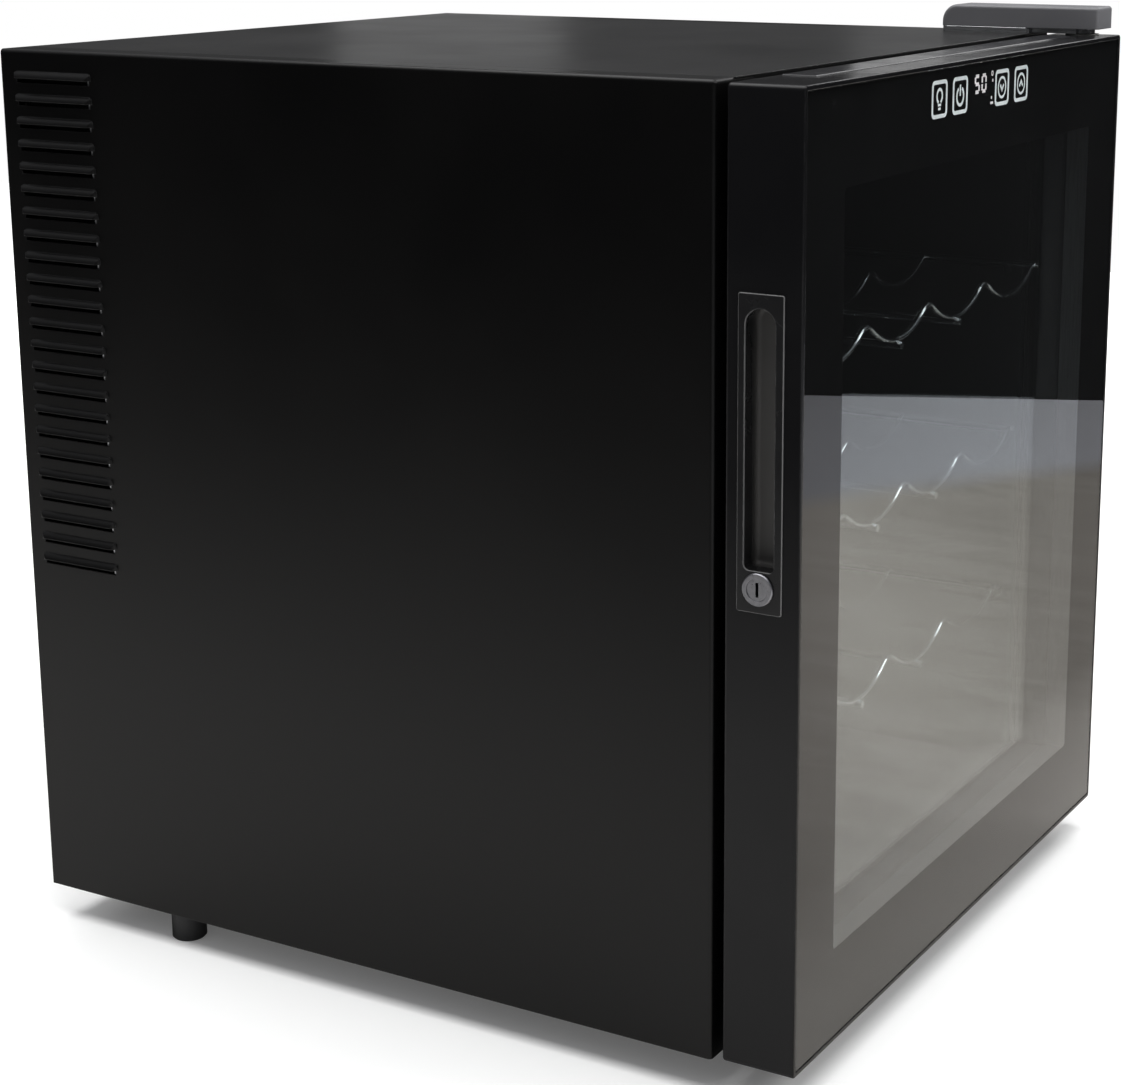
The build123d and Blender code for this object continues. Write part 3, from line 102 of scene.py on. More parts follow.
# Softboxes: place, aim, size, watts, and whether the gloss shows them.
SOFTBOXES = {
    "overhead_softbox": ((-0.3, -0.1, 2.3), (-0.3, -0.1, 0.0), (2.2, 3.0), 80.0, True),
    "front_softbox": ((0.7, -1.9, 1.5), (0.0, -0.1, 0.25), (0.9, 0.7), 14.0, True),
    "rear_softbox": ((1.6, 1.8, 1.2), (0.0, 0.0, 0.4), (1.0, 0.8), 10.0, False),
    "right_softbox": ((2.2, -0.35, 1.45), (0.0, -0.2, 0.4), (0.8, 0.5), 4.0, True),
    "far_right_softbox": ((2.75, 0.86, 0.74), (0.0, -0.2, 0.51), (0.46, 0.34), 0.23, True),
    "far_left_softbox": ((2.5, 1.82, 0.70), (0.0, 0.1, 0.51), (0.42, 0.34), 0.36, True),
}

# Printed border on the back of the front glass, and the clear window in it.
PRINT_Y_MM = -241.10
PRINT_DEPTH_MM = 0.06
PRINT_HALF_MM = 211.9
PRINT_Z_MM = (24.1, 505.9)
PRINT_CORNER_MM = 2.5
WINDOW_HALF_MM = 168.0
WINDOW_Z_MM = (71.0, 458.0)
WINDOW_CORNER_MM = 2.0
CORNER_STEPS = 6

# Printed lines: how far their ends overrun, in half widths, and how sharp a joint may get.
LINE_OVERRUN = 0.6
MITRE_LIMIT = 0.35

# Touch keys, printed in front of the border. Heights of their signs are from the middle of the key.
MARK_Y_MM = -241.25
KEY_X_MM = {"lamp": -58.0, "power": -31.0, "colder": 27.0, "warmer": 55.0}
KEY_Z_MM = 491.0
KEY_HALF_MM = (10.0, 9.6)
KEY_LINE_MM = 2.0
KEY_CORNER_MM = (3.2, 1.6)
BULB_RISE_MM = 1.6
BULB_RADIUS_MM = 3.4
BULB_ARC_DEG = (-60.0, 240.0)
BULB_LINE_MM = 1.6
CAP_BARS_MM = ((-2.9, 1.6), (-4.9, 1.2))
CAP_LINE_MM = 1.3
POWER_RISE_MM = -0.5
POWER_RADIUS_MM = 4.5
POWER_ARC_DEG = (125.0, 415.0)
POWER_BAR_MM = (5.0, 0.2)
POWER_LINE_MM = 1.7
RING_RADII_MM = (6.0, 4.6)
CHEVRON_HALF_MM = 2.2
CHEVRON_TIP_MM = 1.5
CHEVRON_FOOT_MM = 1.1
CHEVRON_LINE_MM = 1.5

# Display: two seven-segment figures, and the small lit marks beside them.
DIGIT_FIGURES = "50"
DIGIT_X_MM = (-12.0, -2.6)
DIGIT_Z_MM = 489.7
DIGIT_SIZE_MM = (7.6, 10.6)
DIGIT_LINE_MM = 2.4
SEGMENT_GAP_MM = DIGIT_LINE_MM * 0.42
SEGMENT_LINE_MM = DIGIT_LINE_MM * 0.8
SEGMENTS = {"5": "afgcd", "0": "abcdef"}
SEGMENT_ENDS = {
    "a": ((0, 1), (1, 1)),
    "b": ((1, 1), (1, 0.5)),
    "c": ((1, 0.5), (1, 0)),
    "d": ((0, 0), (1, 0)),
    "e": ((0, 0.5), (0, 0)),
    "f": ((0, 1), (0, 0.5)),
    "g": ((0, 0.5), (1, 0.5)),
}
DEGREE_MM = (12.6, KEY_Z_MM + 8.4)
DEGREE_RADII_MM = (1.5, 0.7)
STATUS_DOTS_MM = ((13.4, KEY_Z_MM + 4.6), (12.2, KEY_Z_MM - 4.4))
STATUS_DOT_RADIUS_MM = 0.9
STATUS_BAR_MM = [(11.2, KEY_Z_MM - 7.2), (14.2, KEY_Z_MM - 7.2)]
STATUS_LINE_MM = 1.3

# Handle: the depth ranges of its proud rim and of the turn from glossy bezel to satin pocket, and their tones:
# a painted highlight on the rim, and painted light that makes the pocket grey.
RIM_X_MM = (-214.9, -214.6)
RIM_FACING = (-0.97, -0.80)
RIM_HIGHLIGHT_TONE = (0.16, 0.16, 0.16)
POCKET_X_MM = (-208.0, -203.0)
POCKET_PAINTED_LIGHT_TONE = (0.062, 0.060, 0.058)
POCKET_ROUGHNESS = 0.42

# Door seal: the middle line of its ring, and its folded profile as distance outwards and Y.
SEAL_HALF_MM = 181.0
SEAL_Z_MM = (58.0, 471.0)
SEAL_PROFILE_MM = [
    (-6.9, -204.95), (-7.0, -203.9), (-5.7, -203.2), (-7.0, -202.2), (-5.7, -201.3), (-6.9, -200.3),
    (-6.4, -199.25), (-2.0, -199.45), (2.0, -199.45), (6.4, -199.25), (6.9, -200.3), (5.7, -201.3),
    (7.0, -202.2), (5.7, -203.2), (7.0, -203.9), (6.9, -204.95),
]
SEAL_SOFTENING = 2

# Edge radius of painted sheet and of metal, the ripple of the paint, and the tones of paint and dust.
PAINT_EDGE = 0.0008
METAL_EDGE = 0.0004
PAINT_BUMP = (0.10, 0.0002)
PAINT_PEEL_SCALE = 900.0
BLACK_PAINT = ((0.0015, 0.0015, 0.0016), (0.0024, 0.0023, 0.0023))
DUST_COLOUR = (0.34, 0.33, 0.31)
DUST_ROUGHNESS = 0.85
SMEAR_ROUGHNESS = 0.22

# Sprayed sheet steel, by slot: roughness range, specular level, tone of the rubbed edges, which also paints a
# highlight along them, and dust.
PAINTED_SHEETS = {
    "side_steel": ((0.28, 0.34), 0.18, (0.03, 0.03, 0.031), 0.05),
    "top_steel": ((0.30, 0.38), 0.32, (0.05, 0.05, 0.052), 0.06),
    "base_steel": ((0.5, 0.6), 0.3, (0.06, 0.06, 0.06), 0.2),
    "rear_steel": ((0.36, 0.46), 0.3, (0.06, 0.06, 0.06), 0.15),
    "screw_black": ((0.34, 0.44), 0.5, (0.2, 0.2, 0.2), 0.1),
}

# How close the scratches of bare metal lie along each axis.
ALONG_Y = (1500.0, 30.0, 1500.0)
ALONG_Z = (1500.0, 1500.0, 30.0)
EVEN = (400.0, 400.0, 400.0)

# Bare and plated metal, by slot: tones, roughness range, scratches, and strength and depth of the relief.
BRIGHT_METALS = {
    "zinc_sheet": (((0.42, 0.43, 0.45), (0.56, 0.57, 0.58)), (0.32, 0.5), EVEN, (0.05, 0.0002)),
    "sink_aluminium": (((0.6, 0.61, 0.62), (0.76, 0.77, 0.78)), (0.25, 0.4), ALONG_Z, (0.06, 0.0002)),
    "guard_chrome": (((0.66, 0.67, 0.69), (0.8, 0.81, 0.83)), (0.08, 0.16), EVEN, (0.02, 0.0001)),
    "nut_steel": (((0.48, 0.48, 0.49), (0.62, 0.62, 0.63)), (0.25, 0.4), EVEN, (0.05, 0.0002)),
    "hinge_zinc": (((0.52, 0.53, 0.55), (0.68, 0.69, 0.70)), (0.22, 0.36), ALONG_Y, (0.06, 0.0002)),
    "screw_steel": (((0.42, 0.42, 0.44), (0.55, 0.55, 0.57)), (0.25, 0.4), EVEN, (0.04, 0.0002)),
    "rack_chrome": (((0.74, 0.75, 0.77), (0.86, 0.87, 0.88)), (0.05, 0.13), EVEN, (0.02, 0.0001)),
    "spacer_black": (((0.10, 0.10, 0.105), (0.16, 0.16, 0.165)), (0.35, 0.5), ALONG_Z, (0.05, 0.0002)),
    "lock_metal": (((0.19, 0.19, 0.205), (0.25, 0.25, 0.265)), (0.26, 0.38), EVEN, (0.05, 0.0002)),
    "cam_steel": (((0.45, 0.45, 0.46), (0.58, 0.58, 0.59)), (0.28, 0.42), ALONG_Y, (0.05, 0.0002)),
    "sensor_pads": (((0.5, 0.47, 0.4), (0.62, 0.59, 0.5)), (0.3, 0.45), EVEN, (0.05, 0.0002)),
}

# Moulded plastic, rubber and ceramic, by slot.
MOULDINGS = {
    "liner_plastic": dict(
        tones=((0.010, 0.010, 0.011), (0.015, 0.015, 0.016)),
        gloss=(0.38, 0.5), level=0.4, grain_scale=1900.0, bump=(0.12, 0.0002), dust=0.08,
    ),
    "duct_plastic": dict(
        tones=((0.012, 0.012, 0.013), (0.018, 0.018, 0.019)),
        gloss=(0.4, 0.5), level=0.4, grain_scale=1900.0, bump=(0.14, 0.0002),
    ),
    "module_ceramic": dict(
        tones=((0.8, 0.8, 0.78), (0.9, 0.9, 0.88)),
        gloss=(0.5, 0.65), level=0.4, grain_scale=1200.0, bump=(0.08, 0.0002),
    ),
    "fan_plastic": dict(
        tones=((0.010, 0.010, 0.011), (0.016, 0.016, 0.017)),
        gloss=(0.36, 0.46), level=0.4, grain_scale=2300.0, bump=(0.10, 0.0002), dust=0.25,
    ),
    "inlet_plastic": dict(
        tones=((0.006, 0.006, 0.0065), (0.010, 0.010, 0.011)),
        gloss=(0.2, 0.28), level=0.5, grain_scale=2600.0, bump=(0.06, 0.0002),
    ),
    "lamp_white": dict(
        tones=((0.76, 0.76, 0.74), (0.86, 0.86, 0.84)),
        gloss=(0.4, 0.5), level=0.4, grain_scale=1500.0, bump=(0.05, 0.0002),
    ),
    "sensor_plastic": dict(
        tones=((0.70, 0.70, 0.67), (0.8, 0.8, 0.78)),
        gloss=(0.4, 0.5), level=0.4, grain_scale=1500.0, bump=(0.06, 0.0002),
    ),
    "foot_plastic": dict(
        tones=((0.018, 0.018, 0.019), (0.030, 0.030, 0.031)),
        gloss=(0.5, 0.62), level=0.35, grain_scale=1700.0, bump=(0.2, 0.0003), dust=0.2,
    ),
    "hinge_cover_plastic": dict(
        tones=((0.105, 0.105, 0.112), (0.13, 0.13, 0.138)),
        gloss=(0.40, 0.48), level=0.5, grain_scale=2000.0, bump=(0.10, 0.0002), dust=0.25,
        rub_and_highlight=(0.2, 0.2, 0.21), radius=0.0009,
    ),
    "keeper_plastic": dict(
        tones=((0.012, 0.012, 0.012), (0.018, 0.018, 0.018)),
        gloss=(0.5, 0.6), level=0.4, grain_scale=1700.0, bump=(0.12, 0.0002),
    ),
    "door_plastic": dict(
        tones=((0.0045, 0.0045, 0.005), (0.0065, 0.0065, 0.007)),
        gloss=(0.14, 0.2), level=0.15, grain_scale=2600.0, bump=(0.015, 0.0001), dust=0.05,
        smear=0.35, rub_and_highlight=(0.09, 0.09, 0.09), radius=0.0007,
    ),
    "door_liner_plastic": dict(
        tones=((0.008, 0.008, 0.0085), (0.012, 0.012, 0.013)),
        gloss=(0.36, 0.46), level=0.4, grain_scale=1900.0, bump=(0.10, 0.0002),
    ),
    "gasket_rubber": dict(
        tones=((0.008, 0.008, 0.008), (0.014, 0.014, 0.014)),
        gloss=(0.55, 0.7), level=0.35, grain_scale=1300.0, bump=(0.10, 0.0002), dust=0.15,
    ),
    "handle_plastic": dict(
        tones=((0.006, 0.006, 0.0065), (0.010, 0.010, 0.0105)),
        gloss=(0.16, 0.24), level=0.25, grain_scale=2600.0, bump=(0.02, 0.0001), dust=0.1,
        smear=0.5, rub_and_highlight=(0.14, 0.14, 0.14), radius=0.0007,
    ),
    "display_plastic": dict(
        tones=((0.02, 0.02, 0.022), (0.03, 0.03, 0.033)),
        gloss=(0.2, 0.3), level=0.5, grain_scale=1600.0, bump=(0.04, 0.0002),
    ),
    "strip_plastic": dict(
        tones=((0.014, 0.014, 0.0155), (0.022, 0.022, 0.024)),
        gloss=(0.12, 0.2), level=0.26, grain_scale=2600.0, bump=(0.02, 0.0001), dust=0.08,
        smear=0.5,
    ),
    "bush_plastic": dict(
        tones=((0.5, 0.5, 0.48), (0.62, 0.62, 0.6)),
        gloss=(0.4, 0.5), level=0.4, grain_scale=1700.0, bump=(0.06, 0.0002),
    ),
}

# Glass panes, by slot: tint and smears.
GLASS_PANES = {
    "door_glass": ((0.80, 0.83, 0.83), 0.2),
    "clear_glass": ((0.93, 0.95, 0.95), 0.25),
}

# Inks: their two tones, and the glow of the lit ones.
BORDER_TONES = ((0.0035, 0.0035, 0.0037), (0.0055, 0.0055, 0.0058))
KEY_TONES = ((0.70, 0.73, 0.74), (0.82, 0.85, 0.86))
KEY_GLOW = 0.25
FIGURE_TONES = ((0.74, 0.68, 0.69), (0.86, 0.80, 0.81))
FIGURE_GLOW = 0.3


def put(tree, kind, feeds=None, **traits):
    """Adds one shader node, sets its traits, and links or sets its inputs."""
    node = tree.nodes.new(kind)
    for trait, value in traits.items():
        setattr(node, trait, value)
    for label, value in (feeds or {}).items():
        if isinstance(value, bpy.types.NodeSocket):
            tree.links.new(value, node.inputs[label])
        else:
            node.inputs[label].default_value = value
    return node


def spread(tree, value, low, high, floor=0.0, ceiling=1.0):
    """Maps a value from floor..ceiling to low..high and keeps it there."""
    feeds = {"Value": value, "From Min": floor, "From Max": ceiling, "To Min": low, "To Max": high}
    return put(tree, "ShaderNodeMapRange", feeds).outputs["Result"]


def times(tree, a, b):
    return put(tree, "ShaderNodeMath", {0: a, 1: b}, operation="MULTIPLY").outputs[0]


def mix_colour(tree, share, low, high):
    feeds = {0: share, 6: low, 7: high}
    return put(tree, "ShaderNodeMix", feeds, data_type="RGBA").outputs[2]


def mix_value(tree, share, low, high):
    feeds = {0: share, 2: low, 3: high}
    return put(tree, "ShaderNodeMix", feeds, data_type="FLOAT").outputs[0]


def rgb(tone):
    return (tone[0], tone[1], tone[2], 1.0)


def mix_tones(tree, share, tones):
    return mix_colour(tree, share, rgb(tones[0]), rgb(tones[1]))


def object_place(tree):
    """Position in the frame of the piece, which rides with it."""
    return put(tree, "ShaderNodeTexCoord").outputs["Object"]


def cloud(tree, scale, detail=3.0, rough=0.55, distortion=0.0, place=None):
    """Noise in the cooler's own frame."""
    if place is None:
        place = object_place(tree)
    feeds = {"Vector": place, "Scale": scale, "Detail": detail, "Roughness": rough, "Distortion": distortion}
    return put(tree, "ShaderNodeTexNoise", feeds).outputs["Fac"]


def stretched(tree, place, stretch):
    return put(tree, "ShaderNodeVectorMath", {0: place, 1: stretch}, operation="MULTIPLY").outputs[0]


def new_group(name, inputs, outputs):
    """An empty shader node group with its named sockets."""
    tree = bpy.data.node_groups.new(name, "ShaderNodeTree")
    for label, value in inputs.items():
        kind = "NodeSocketVector" if isinstance(value, tuple) else "NodeSocketFloat"
        made = tree.interface.new_socket(label, in_out="INPUT", socket_type=kind)
        made.default_value = value
    for label, kind in outputs.items():
        tree.interface.new_socket(label, in_out="OUTPUT", socket_type=kind)
    return tree, put(tree, "NodeGroupInput"), put(tree, "NodeGroupOutput")


GRAIN_OUTPUTS = {"Height": "NodeSocketFloat", "Tone": "NodeSocketFloat"}
MASK_OUTPUT = {"Mask": "NodeSocketFloat"}
EDGE_OUTPUTS = {"Normal": "NodeSocketVector", "Rub And Highlight": "NodeSocketFloat"}


def make_paint_peel():
    """The fine ripple of sprayed paint and the slow drift of its tone."""
    sockets = {"Peel Scale": PAINT_PEEL_SCALE, "Drift Scale": 5.0}
    tree, given, result = new_group("paint_peel", sockets, GRAIN_OUTPUTS)
    peel = cloud(tree, given.outputs["Peel Scale"], 2.0, 0.45)
    drift = cloud(tree, given.outputs["Drift Scale"], 4.0, 0.6)
    tree.links.new(peel, result.inputs["Height"])
    tree.links.new(spread(tree, drift, 0.0, 1.0, 0.32, 0.68), result.inputs["Tone"])
    return tree


def make_mould_grain():
    """The spark-eroded grain of a moulding and its slow flow marks."""
    sockets = {"Grain Scale": 2600.0, "Flow Scale": 9.0}
    tree, given, result = new_group("mould_grain", sockets, GRAIN_OUTPUTS)
    feeds = {"Vector": object_place(tree), "Scale": given.outputs["Grain Scale"]}
    cells = put(tree, "ShaderNodeTexVoronoi", feeds)
    flow = cloud(tree, given.outputs["Flow Scale"], 4.0, 0.6, 0.8)
    tree.links.new(cells.outputs["Distance"], result.inputs["Height"])
    tree.links.new(spread(tree, flow, 0.0, 1.0, 0.3, 0.7), result.inputs["Tone"])
    return tree


def make_brushed_grain():
    """Long fine scratches; the stretch says how close they lie along each axis."""
    tree, given, result = new_group("brushed_grain", {"Stretch": EVEN}, GRAIN_OUTPUTS)
    drawn = stretched(tree, object_place(tree), given.outputs["Stretch"])
    lines = cloud(tree, 1.0, 4.0, 0.6, 0.0, drawn)
    tree.links.new(lines, result.inputs["Height"])
    tree.links.new(spread(tree, lines, 0.0, 1.0, 0.3, 0.7), result.inputs["Tone"])
    return tree


def make_settled_dust():
    """Fine dust on faces that look up."""
    sockets = {"Amount": 0.3, "Fleck Scale": 1600.0}
    tree, given, result = new_group("settled_dust", sockets, MASK_OUTPUT)
    normal = put(tree, "ShaderNodeNewGeometry").outputs["Normal"]
    up = put(tree, "ShaderNodeSeparateXYZ", {0: normal}).outputs["Z"]
    level = spread(tree, up, 0.0, 1.0, 0.75, 0.98)
    flecks = spread(tree, cloud(tree, given.outputs["Fleck Scale"], 1.0), 0.0, 1.0, 0.52, 0.75)
    patches = spread(tree, cloud(tree, 14.0, 5.0, 0.65), 0.15, 1.0, 0.35, 0.7)
    laid = times(tree, times(tree, level, flecks), times(tree, patches, given.outputs["Amount"]))
    tree.links.new(laid, result.inputs["Mask"])
    return tree


def make_hand_smears():
    """Faint wiped smears and finger marks on glossy faces."""
    sockets = {"Amount": 0.5, "Smear Scale": 11.0}
    tree, given, result = new_group("hand_smears", sockets, MASK_OUTPUT)
    wiped = spread(tree, cloud(tree, given.outputs["Smear Scale"], 6.0, 0.7, 1.8), 0.0, 1.0, 0.48, 0.72)
    streaks = spread(tree, cloud(tree, 90.0, 3.0, 0.6, 0.6), 0.4, 1.0, 0.3, 0.7)
    laid = times(tree, times(tree, wiped, streaks), given.outputs["Amount"])
    tree.links.new(laid, result.inputs["Mask"])
    return tree


def make_edge_round():
    """Softens sharp edges for the light, and marks them for rubbed wear and a painted edge highlight."""
    tree, given, result = new_group("edge_round", {"Radius": 0.0007}, EDGE_OUTPUTS)
    bevel = put(tree, "ShaderNodeBevel", {"Radius": given.outputs["Radius"]}, samples=4).outputs["Normal"]
    flat = put(tree, "ShaderNodeNewGeometry").outputs["Normal"]
    along = put(tree, "ShaderNodeVectorMath", {0: bevel, 1: flat}, operation="DOT_PRODUCT").outputs["Value"]
    turned = spread(tree, along, 1.0, 0.0, 0.80, 0.99)
    broken = spread(tree, cloud(tree, 260.0, 4.0, 0.65), 0.0, 1.0, 0.38, 0.66)
    tree.links.new(bevel, result.inputs["Normal"])
    tree.links.new(times(tree, turned, broken), result.inputs["Rub And Highlight"])
    return tree


PAINT_PEEL = make_paint_peel()
MOULD_GRAIN = make_mould_grain()
BRUSHED_GRAIN = make_brushed_grain()
SETTLED_DUST = make_settled_dust()
HAND_SMEARS = make_hand_smears()
EDGE_ROUND = make_edge_round()


def fill_group(tree, group, values):
    """Places a node group in a material with its own values."""
    node = tree.nodes.new("ShaderNodeGroup")
    node.node_tree = group
    for label, value in values.items():
        node.inputs[label].default_value = value
    return node


def new_finish(slot, constants):
    """A material with its even values set straight on the shader."""
    finish = bpy.data.materials.new(slot + "_finish")
    finish.use_nodes = True
    tree = finish.node_tree
    shader = tree.nodes["Principled BSDF"]
    for label, value in constants.items():
        shader.inputs[label].default_value = value
    return finish, tree, shader


def surface(tree, shader, grain, tones, gloss, bump, rub_and_highlight, dust, smear, radius):
    """Joins grain, dust, smears, and rubbed edges with their painted highlight into one shader."""
    height, tone = grain.outputs["Height"], grain.outputs["Tone"]
    edge = fill_group(tree, EDGE_ROUND, {"Radius": radius})
    colour = mix_tones(tree, tone, tones)
    rough = spread(tree, tone, gloss[0], gloss[1])
    # lighter edges: rubbed wear and a painted highlight
    if rub_and_highlight is not None:
        colour = mix_colour(tree, edge.outputs["Rub And Highlight"], colour, rgb(rub_and_highlight))
    if smear:
        marks = fill_group(tree, HAND_SMEARS, {"Amount": smear})
        rough = mix_value(tree, marks.outputs["Mask"], rough, gloss[1] + SMEAR_ROUGHNESS)
    if dust:
        film = fill_group(tree, SETTLED_DUST, {"Amount": dust})
        colour = mix_colour(tree, film.outputs["Mask"], colour, rgb(DUST_COLOUR))
        rough = mix_value(tree, film.outputs["Mask"], rough, DUST_ROUGHNESS)
    tree.links.new(colour, shader.inputs["Base Color"])
    tree.links.new(rough, shader.inputs["Roughness"])
    strength, depth = bump
    feeds = {"Height": height, "Strength": strength, "Distance": depth, "Normal": edge.outputs["Normal"]}
    relief = put(tree, "ShaderNodeBump", feeds)
    tree.links.new(relief.outputs["Normal"], shader.inputs["Normal"])


def painted_sheet(slot, gloss, level, rub_and_highlight, dust):
    """Sheet steel sprayed black."""
    finish, tree, shader = new_finish(slot, {"Specular IOR Level": level})
    grain = fill_group(tree, PAINT_PEEL, {"Peel Scale": PAINT_PEEL_SCALE})
    surface(tree, shader, grain, BLACK_PAINT, gloss, PAINT_BUMP, rub_and_highlight, dust, 0.0, PAINT_EDGE)
    return finish


def bright_metal(slot, tones, gloss, stretch, bump):
    """Bare, plated or brushed metal."""
    finish, tree, shader = new_finish(slot, {"Metallic": 1.0})
    grain = fill_group(tree, BRUSHED_GRAIN, {"Stretch": stretch})
    surface(tree, shader, grain, tones, gloss, bump, None, 0.0, 0.0, METAL_EDGE)
    return finish


def moulding(slot, tones, gloss, level, grain_scale, bump, dust=0.0, smear=0.0, rub_and_highlight=None, radius=0.0006):
    """Injection-moulded plastic."""
    finish, tree, shader = new_finish(slot, {"Specular IOR Level": level})
    grain = fill_group(tree, MOULD_GRAIN, {"Grain Scale": grain_scale})
    surface(tree, shader, grain, tones, gloss, bump, rub_and_highlight, dust, smear, radius)
    return finish


def work_handle(finish):
    """Gives the handle's glossy bezel a painted highlight along its rim, and its finger pocket a satin finish
    with a grey of painted light.
    """
    tree = finish.node_tree
    shader = tree.nodes["Principled BSDF"]
    inward = put(tree, "ShaderNodeSeparateXYZ", {0: object_place(tree)}).outputs["X"]
    pocket = spread(tree, inward, 0.0, 1.0, POCKET_X_MM[0] * MM, POCKET_X_MM[1] * MM)
    facing = put(tree, "ShaderNodeTexCoord").outputs["Normal"]
    outward = put(tree, "ShaderNodeSeparateXYZ", {0: facing}).outputs["X"]
    proud = spread(tree, inward, 1.0, 0.0, RIM_X_MM[0] * MM, RIM_X_MM[1] * MM)
    rim = times(tree, proud, spread(tree, outward, 0.0, 1.0, RIM_FACING[0], RIM_FACING[1]))
    bezel_colour = shader.inputs["Base Color"].links[0].from_socket
    # painted highlight: the rounded rim of the bezel is made lighter
    bezel_colour = mix_colour(tree, rim, bezel_colour, rgb(RIM_HIGHLIGHT_TONE))
    bezel_rough = shader.inputs["Roughness"].links[0].from_socket
    # painted light: the finger pocket is made a lighter grey; its satin roughness is the real finish
    tree.links.new(mix_colour(tree, pocket, bezel_colour, rgb(POCKET_PAINTED_LIGHT_TONE)), shader.inputs["Base Color"])
    tree.links.new(mix_value(tree, pocket, bezel_rough, POCKET_ROUGHNESS), shader.inputs["Roughness"])


def glass_pane(slot, tint, smear):
    """Clear glass; its shadow lets the light into the cabinet."""
    constants = {"Transmission Weight": 1.0, "IOR": 1.5, "Base Color": rgb(tint)}
    finish, tree, shader = new_finish(slot, constants)
    marks = fill_group(tree, HAND_SMEARS, {"Amount": smear})
    tree.links.new(spread(tree, marks.outputs["Mask"], 0.0, 0.03), shader.inputs["Roughness"])
    path = put(tree, "ShaderNodeLightPath").outputs["Is Shadow Ray"]
    clear = put(tree, "ShaderNodeBsdfTransparent", {"Color": rgb(tint)}).outputs[0]
    both = put(tree, "ShaderNodeMixShader", {0: path, 1: shader.outputs[0], 2: clear}).outputs[0]
    tree.links.new(both, tree.nodes["Material Output"].inputs["Surface"])
    return finish


def lamp_cover(slot):
    """Frosted clear plastic over the lamp."""
    constants = {"Transmission Weight": 0.85, "IOR": 1.49, "Base Color": (0.92, 0.94, 0.95, 1.0)}
    finish, tree, shader = new_finish(slot, constants)
    grain = fill_group(tree, MOULD_GRAIN, {"Grain Scale": 700.0})
    tree.links.new(spread(tree, grain.outputs["Tone"], 0.16, 0.30), shader.inputs["Roughness"])
    feeds = {"Height": grain.outputs["Height"], "Strength": 0.25, "Distance": 0.0004}
    tree.links.new(put(tree, "ShaderNodeBump", feeds).outputs["Normal"], shader.inputs["Normal"])
    return finish


def circuit_board(slot):
    """Green lacquered board with its copper tracks showing through."""
    finish, tree, shader = new_finish(slot, {"Specular IOR Level": 0.5, "Coat Weight": 0.4})
    feeds = {"Vector": object_place(tree), "Scale": 90.0, "Mortar Size": 0.03}
    tracks = put(tree, "ShaderNodeTexBrick", feeds)
    grain = fill_group(tree, MOULD_GRAIN, {"Grain Scale": 900.0})
    colour = mix_tones(tree, tracks.outputs["Fac"], ((0.030, 0.16, 0.07), (0.055, 0.26, 0.11)))
    stain = spread(tree, grain.outputs["Tone"], 0.0, 0.35)
    colour = mix_colour(tree, stain, colour, (0.02, 0.09, 0.05, 1.0))
    tree.links.new(colour, shader.inputs["Base Color"])
    tree.links.new(spread(tree, grain.outputs["Tone"], 0.28, 0.42), shader.inputs["Roughness"])
    return finish


def insulation_foam(slot):
    """Cut polyurethane foam."""
    finish, tree, shader = new_finish(slot, {"Specular IOR Level": 0.1})
    feeds = {"Vector": object_place(tree), "Scale": 700.0}
    cells = put(tree, "ShaderNodeTexVoronoi", feeds).outputs["Distance"]
    drift = cloud(tree, 12.0, 4.0)
    share = spread(tree, drift, 0.0, 1.0, 0.3, 0.7)
    colour = mix_tones(tree, share, ((0.72, 0.63, 0.42), (0.88, 0.82, 0.62)))
    tree.links.new(colour, shader.inputs["Base Color"])
    tree.links.new(spread(tree, drift, 0.8, 0.98), shader.inputs["Roughness"])
    feeds = {"Height": cells, "Strength": 0.6, "Distance": 0.001}
    tree.links.new(put(tree, "ShaderNodeBump", feeds).outputs["Normal"], shader.inputs["Normal"])
    return finish


def printed_ink(name, tones):
    """Dull screen-printed ink."""
    finish, tree, shader = new_finish(name, {"Specular IOR Level": 0.05})
    grain = fill_group(tree, MOULD_GRAIN, {"Grain Scale": 1800.0, "Flow Scale": 16.0})
    tree.links.new(mix_tones(tree, grain.outputs["Tone"], tones), shader.inputs["Base Color"])
    tree.links.new(spread(tree, grain.outputs["Tone"], 0.4, 0.5), shader.inputs["Roughness"])
    return finish


def lit_ink(name, tones, glow):
    """Print with the light of the display behind it."""
    finish, tree, shader = new_finish(name, {"Specular IOR Level": 0.1, "Emission Strength": glow})
    grain = fill_group(tree, MOULD_GRAIN, {"Grain Scale": 1500.0, "Flow Scale": 120.0})
    colour = mix_tones(tree, grain.outputs["Tone"], tones)
    tree.links.new(colour, shader.inputs["Base Color"])
    tree.links.new(colour, shader.inputs["Emission Color"])
    tree.links.new(spread(tree, grain.outputs["Tone"], 0.4, 0.55), shader.inputs["Roughness"])
    return finish


def dress_cabinet():
    """One finish for each of the record's slots."""
    finishes = {slot: painted_sheet(slot, *look) for slot, look in PAINTED_SHEETS.items()}
    finishes.update({slot: bright_metal(slot, *look) for slot, look in BRIGHT_METALS.items()})
    finishes.update({slot: moulding(slot, **look) for slot, look in MOULDINGS.items()})
    finishes.update({slot: glass_pane(slot, *look) for slot, look in GLASS_PANES.items()})
    finishes["foam"] = insulation_foam("foam")
    finishes["board_green"] = circuit_board("board_green")
    finishes["lamp_clear"] = lamp_cover("lamp_clear")
    work_handle(finishes["handle_plastic"])
    return finishes


def wear_finishes(finishes):
    """Gives each CAD node the finish of its slot."""
    for row in frame["record"]["subparts"]:
        node = frame["nodes"][row["node"]]
        for holder in node.material_slots:
            holder.material = finishes[row["material_slot"]]


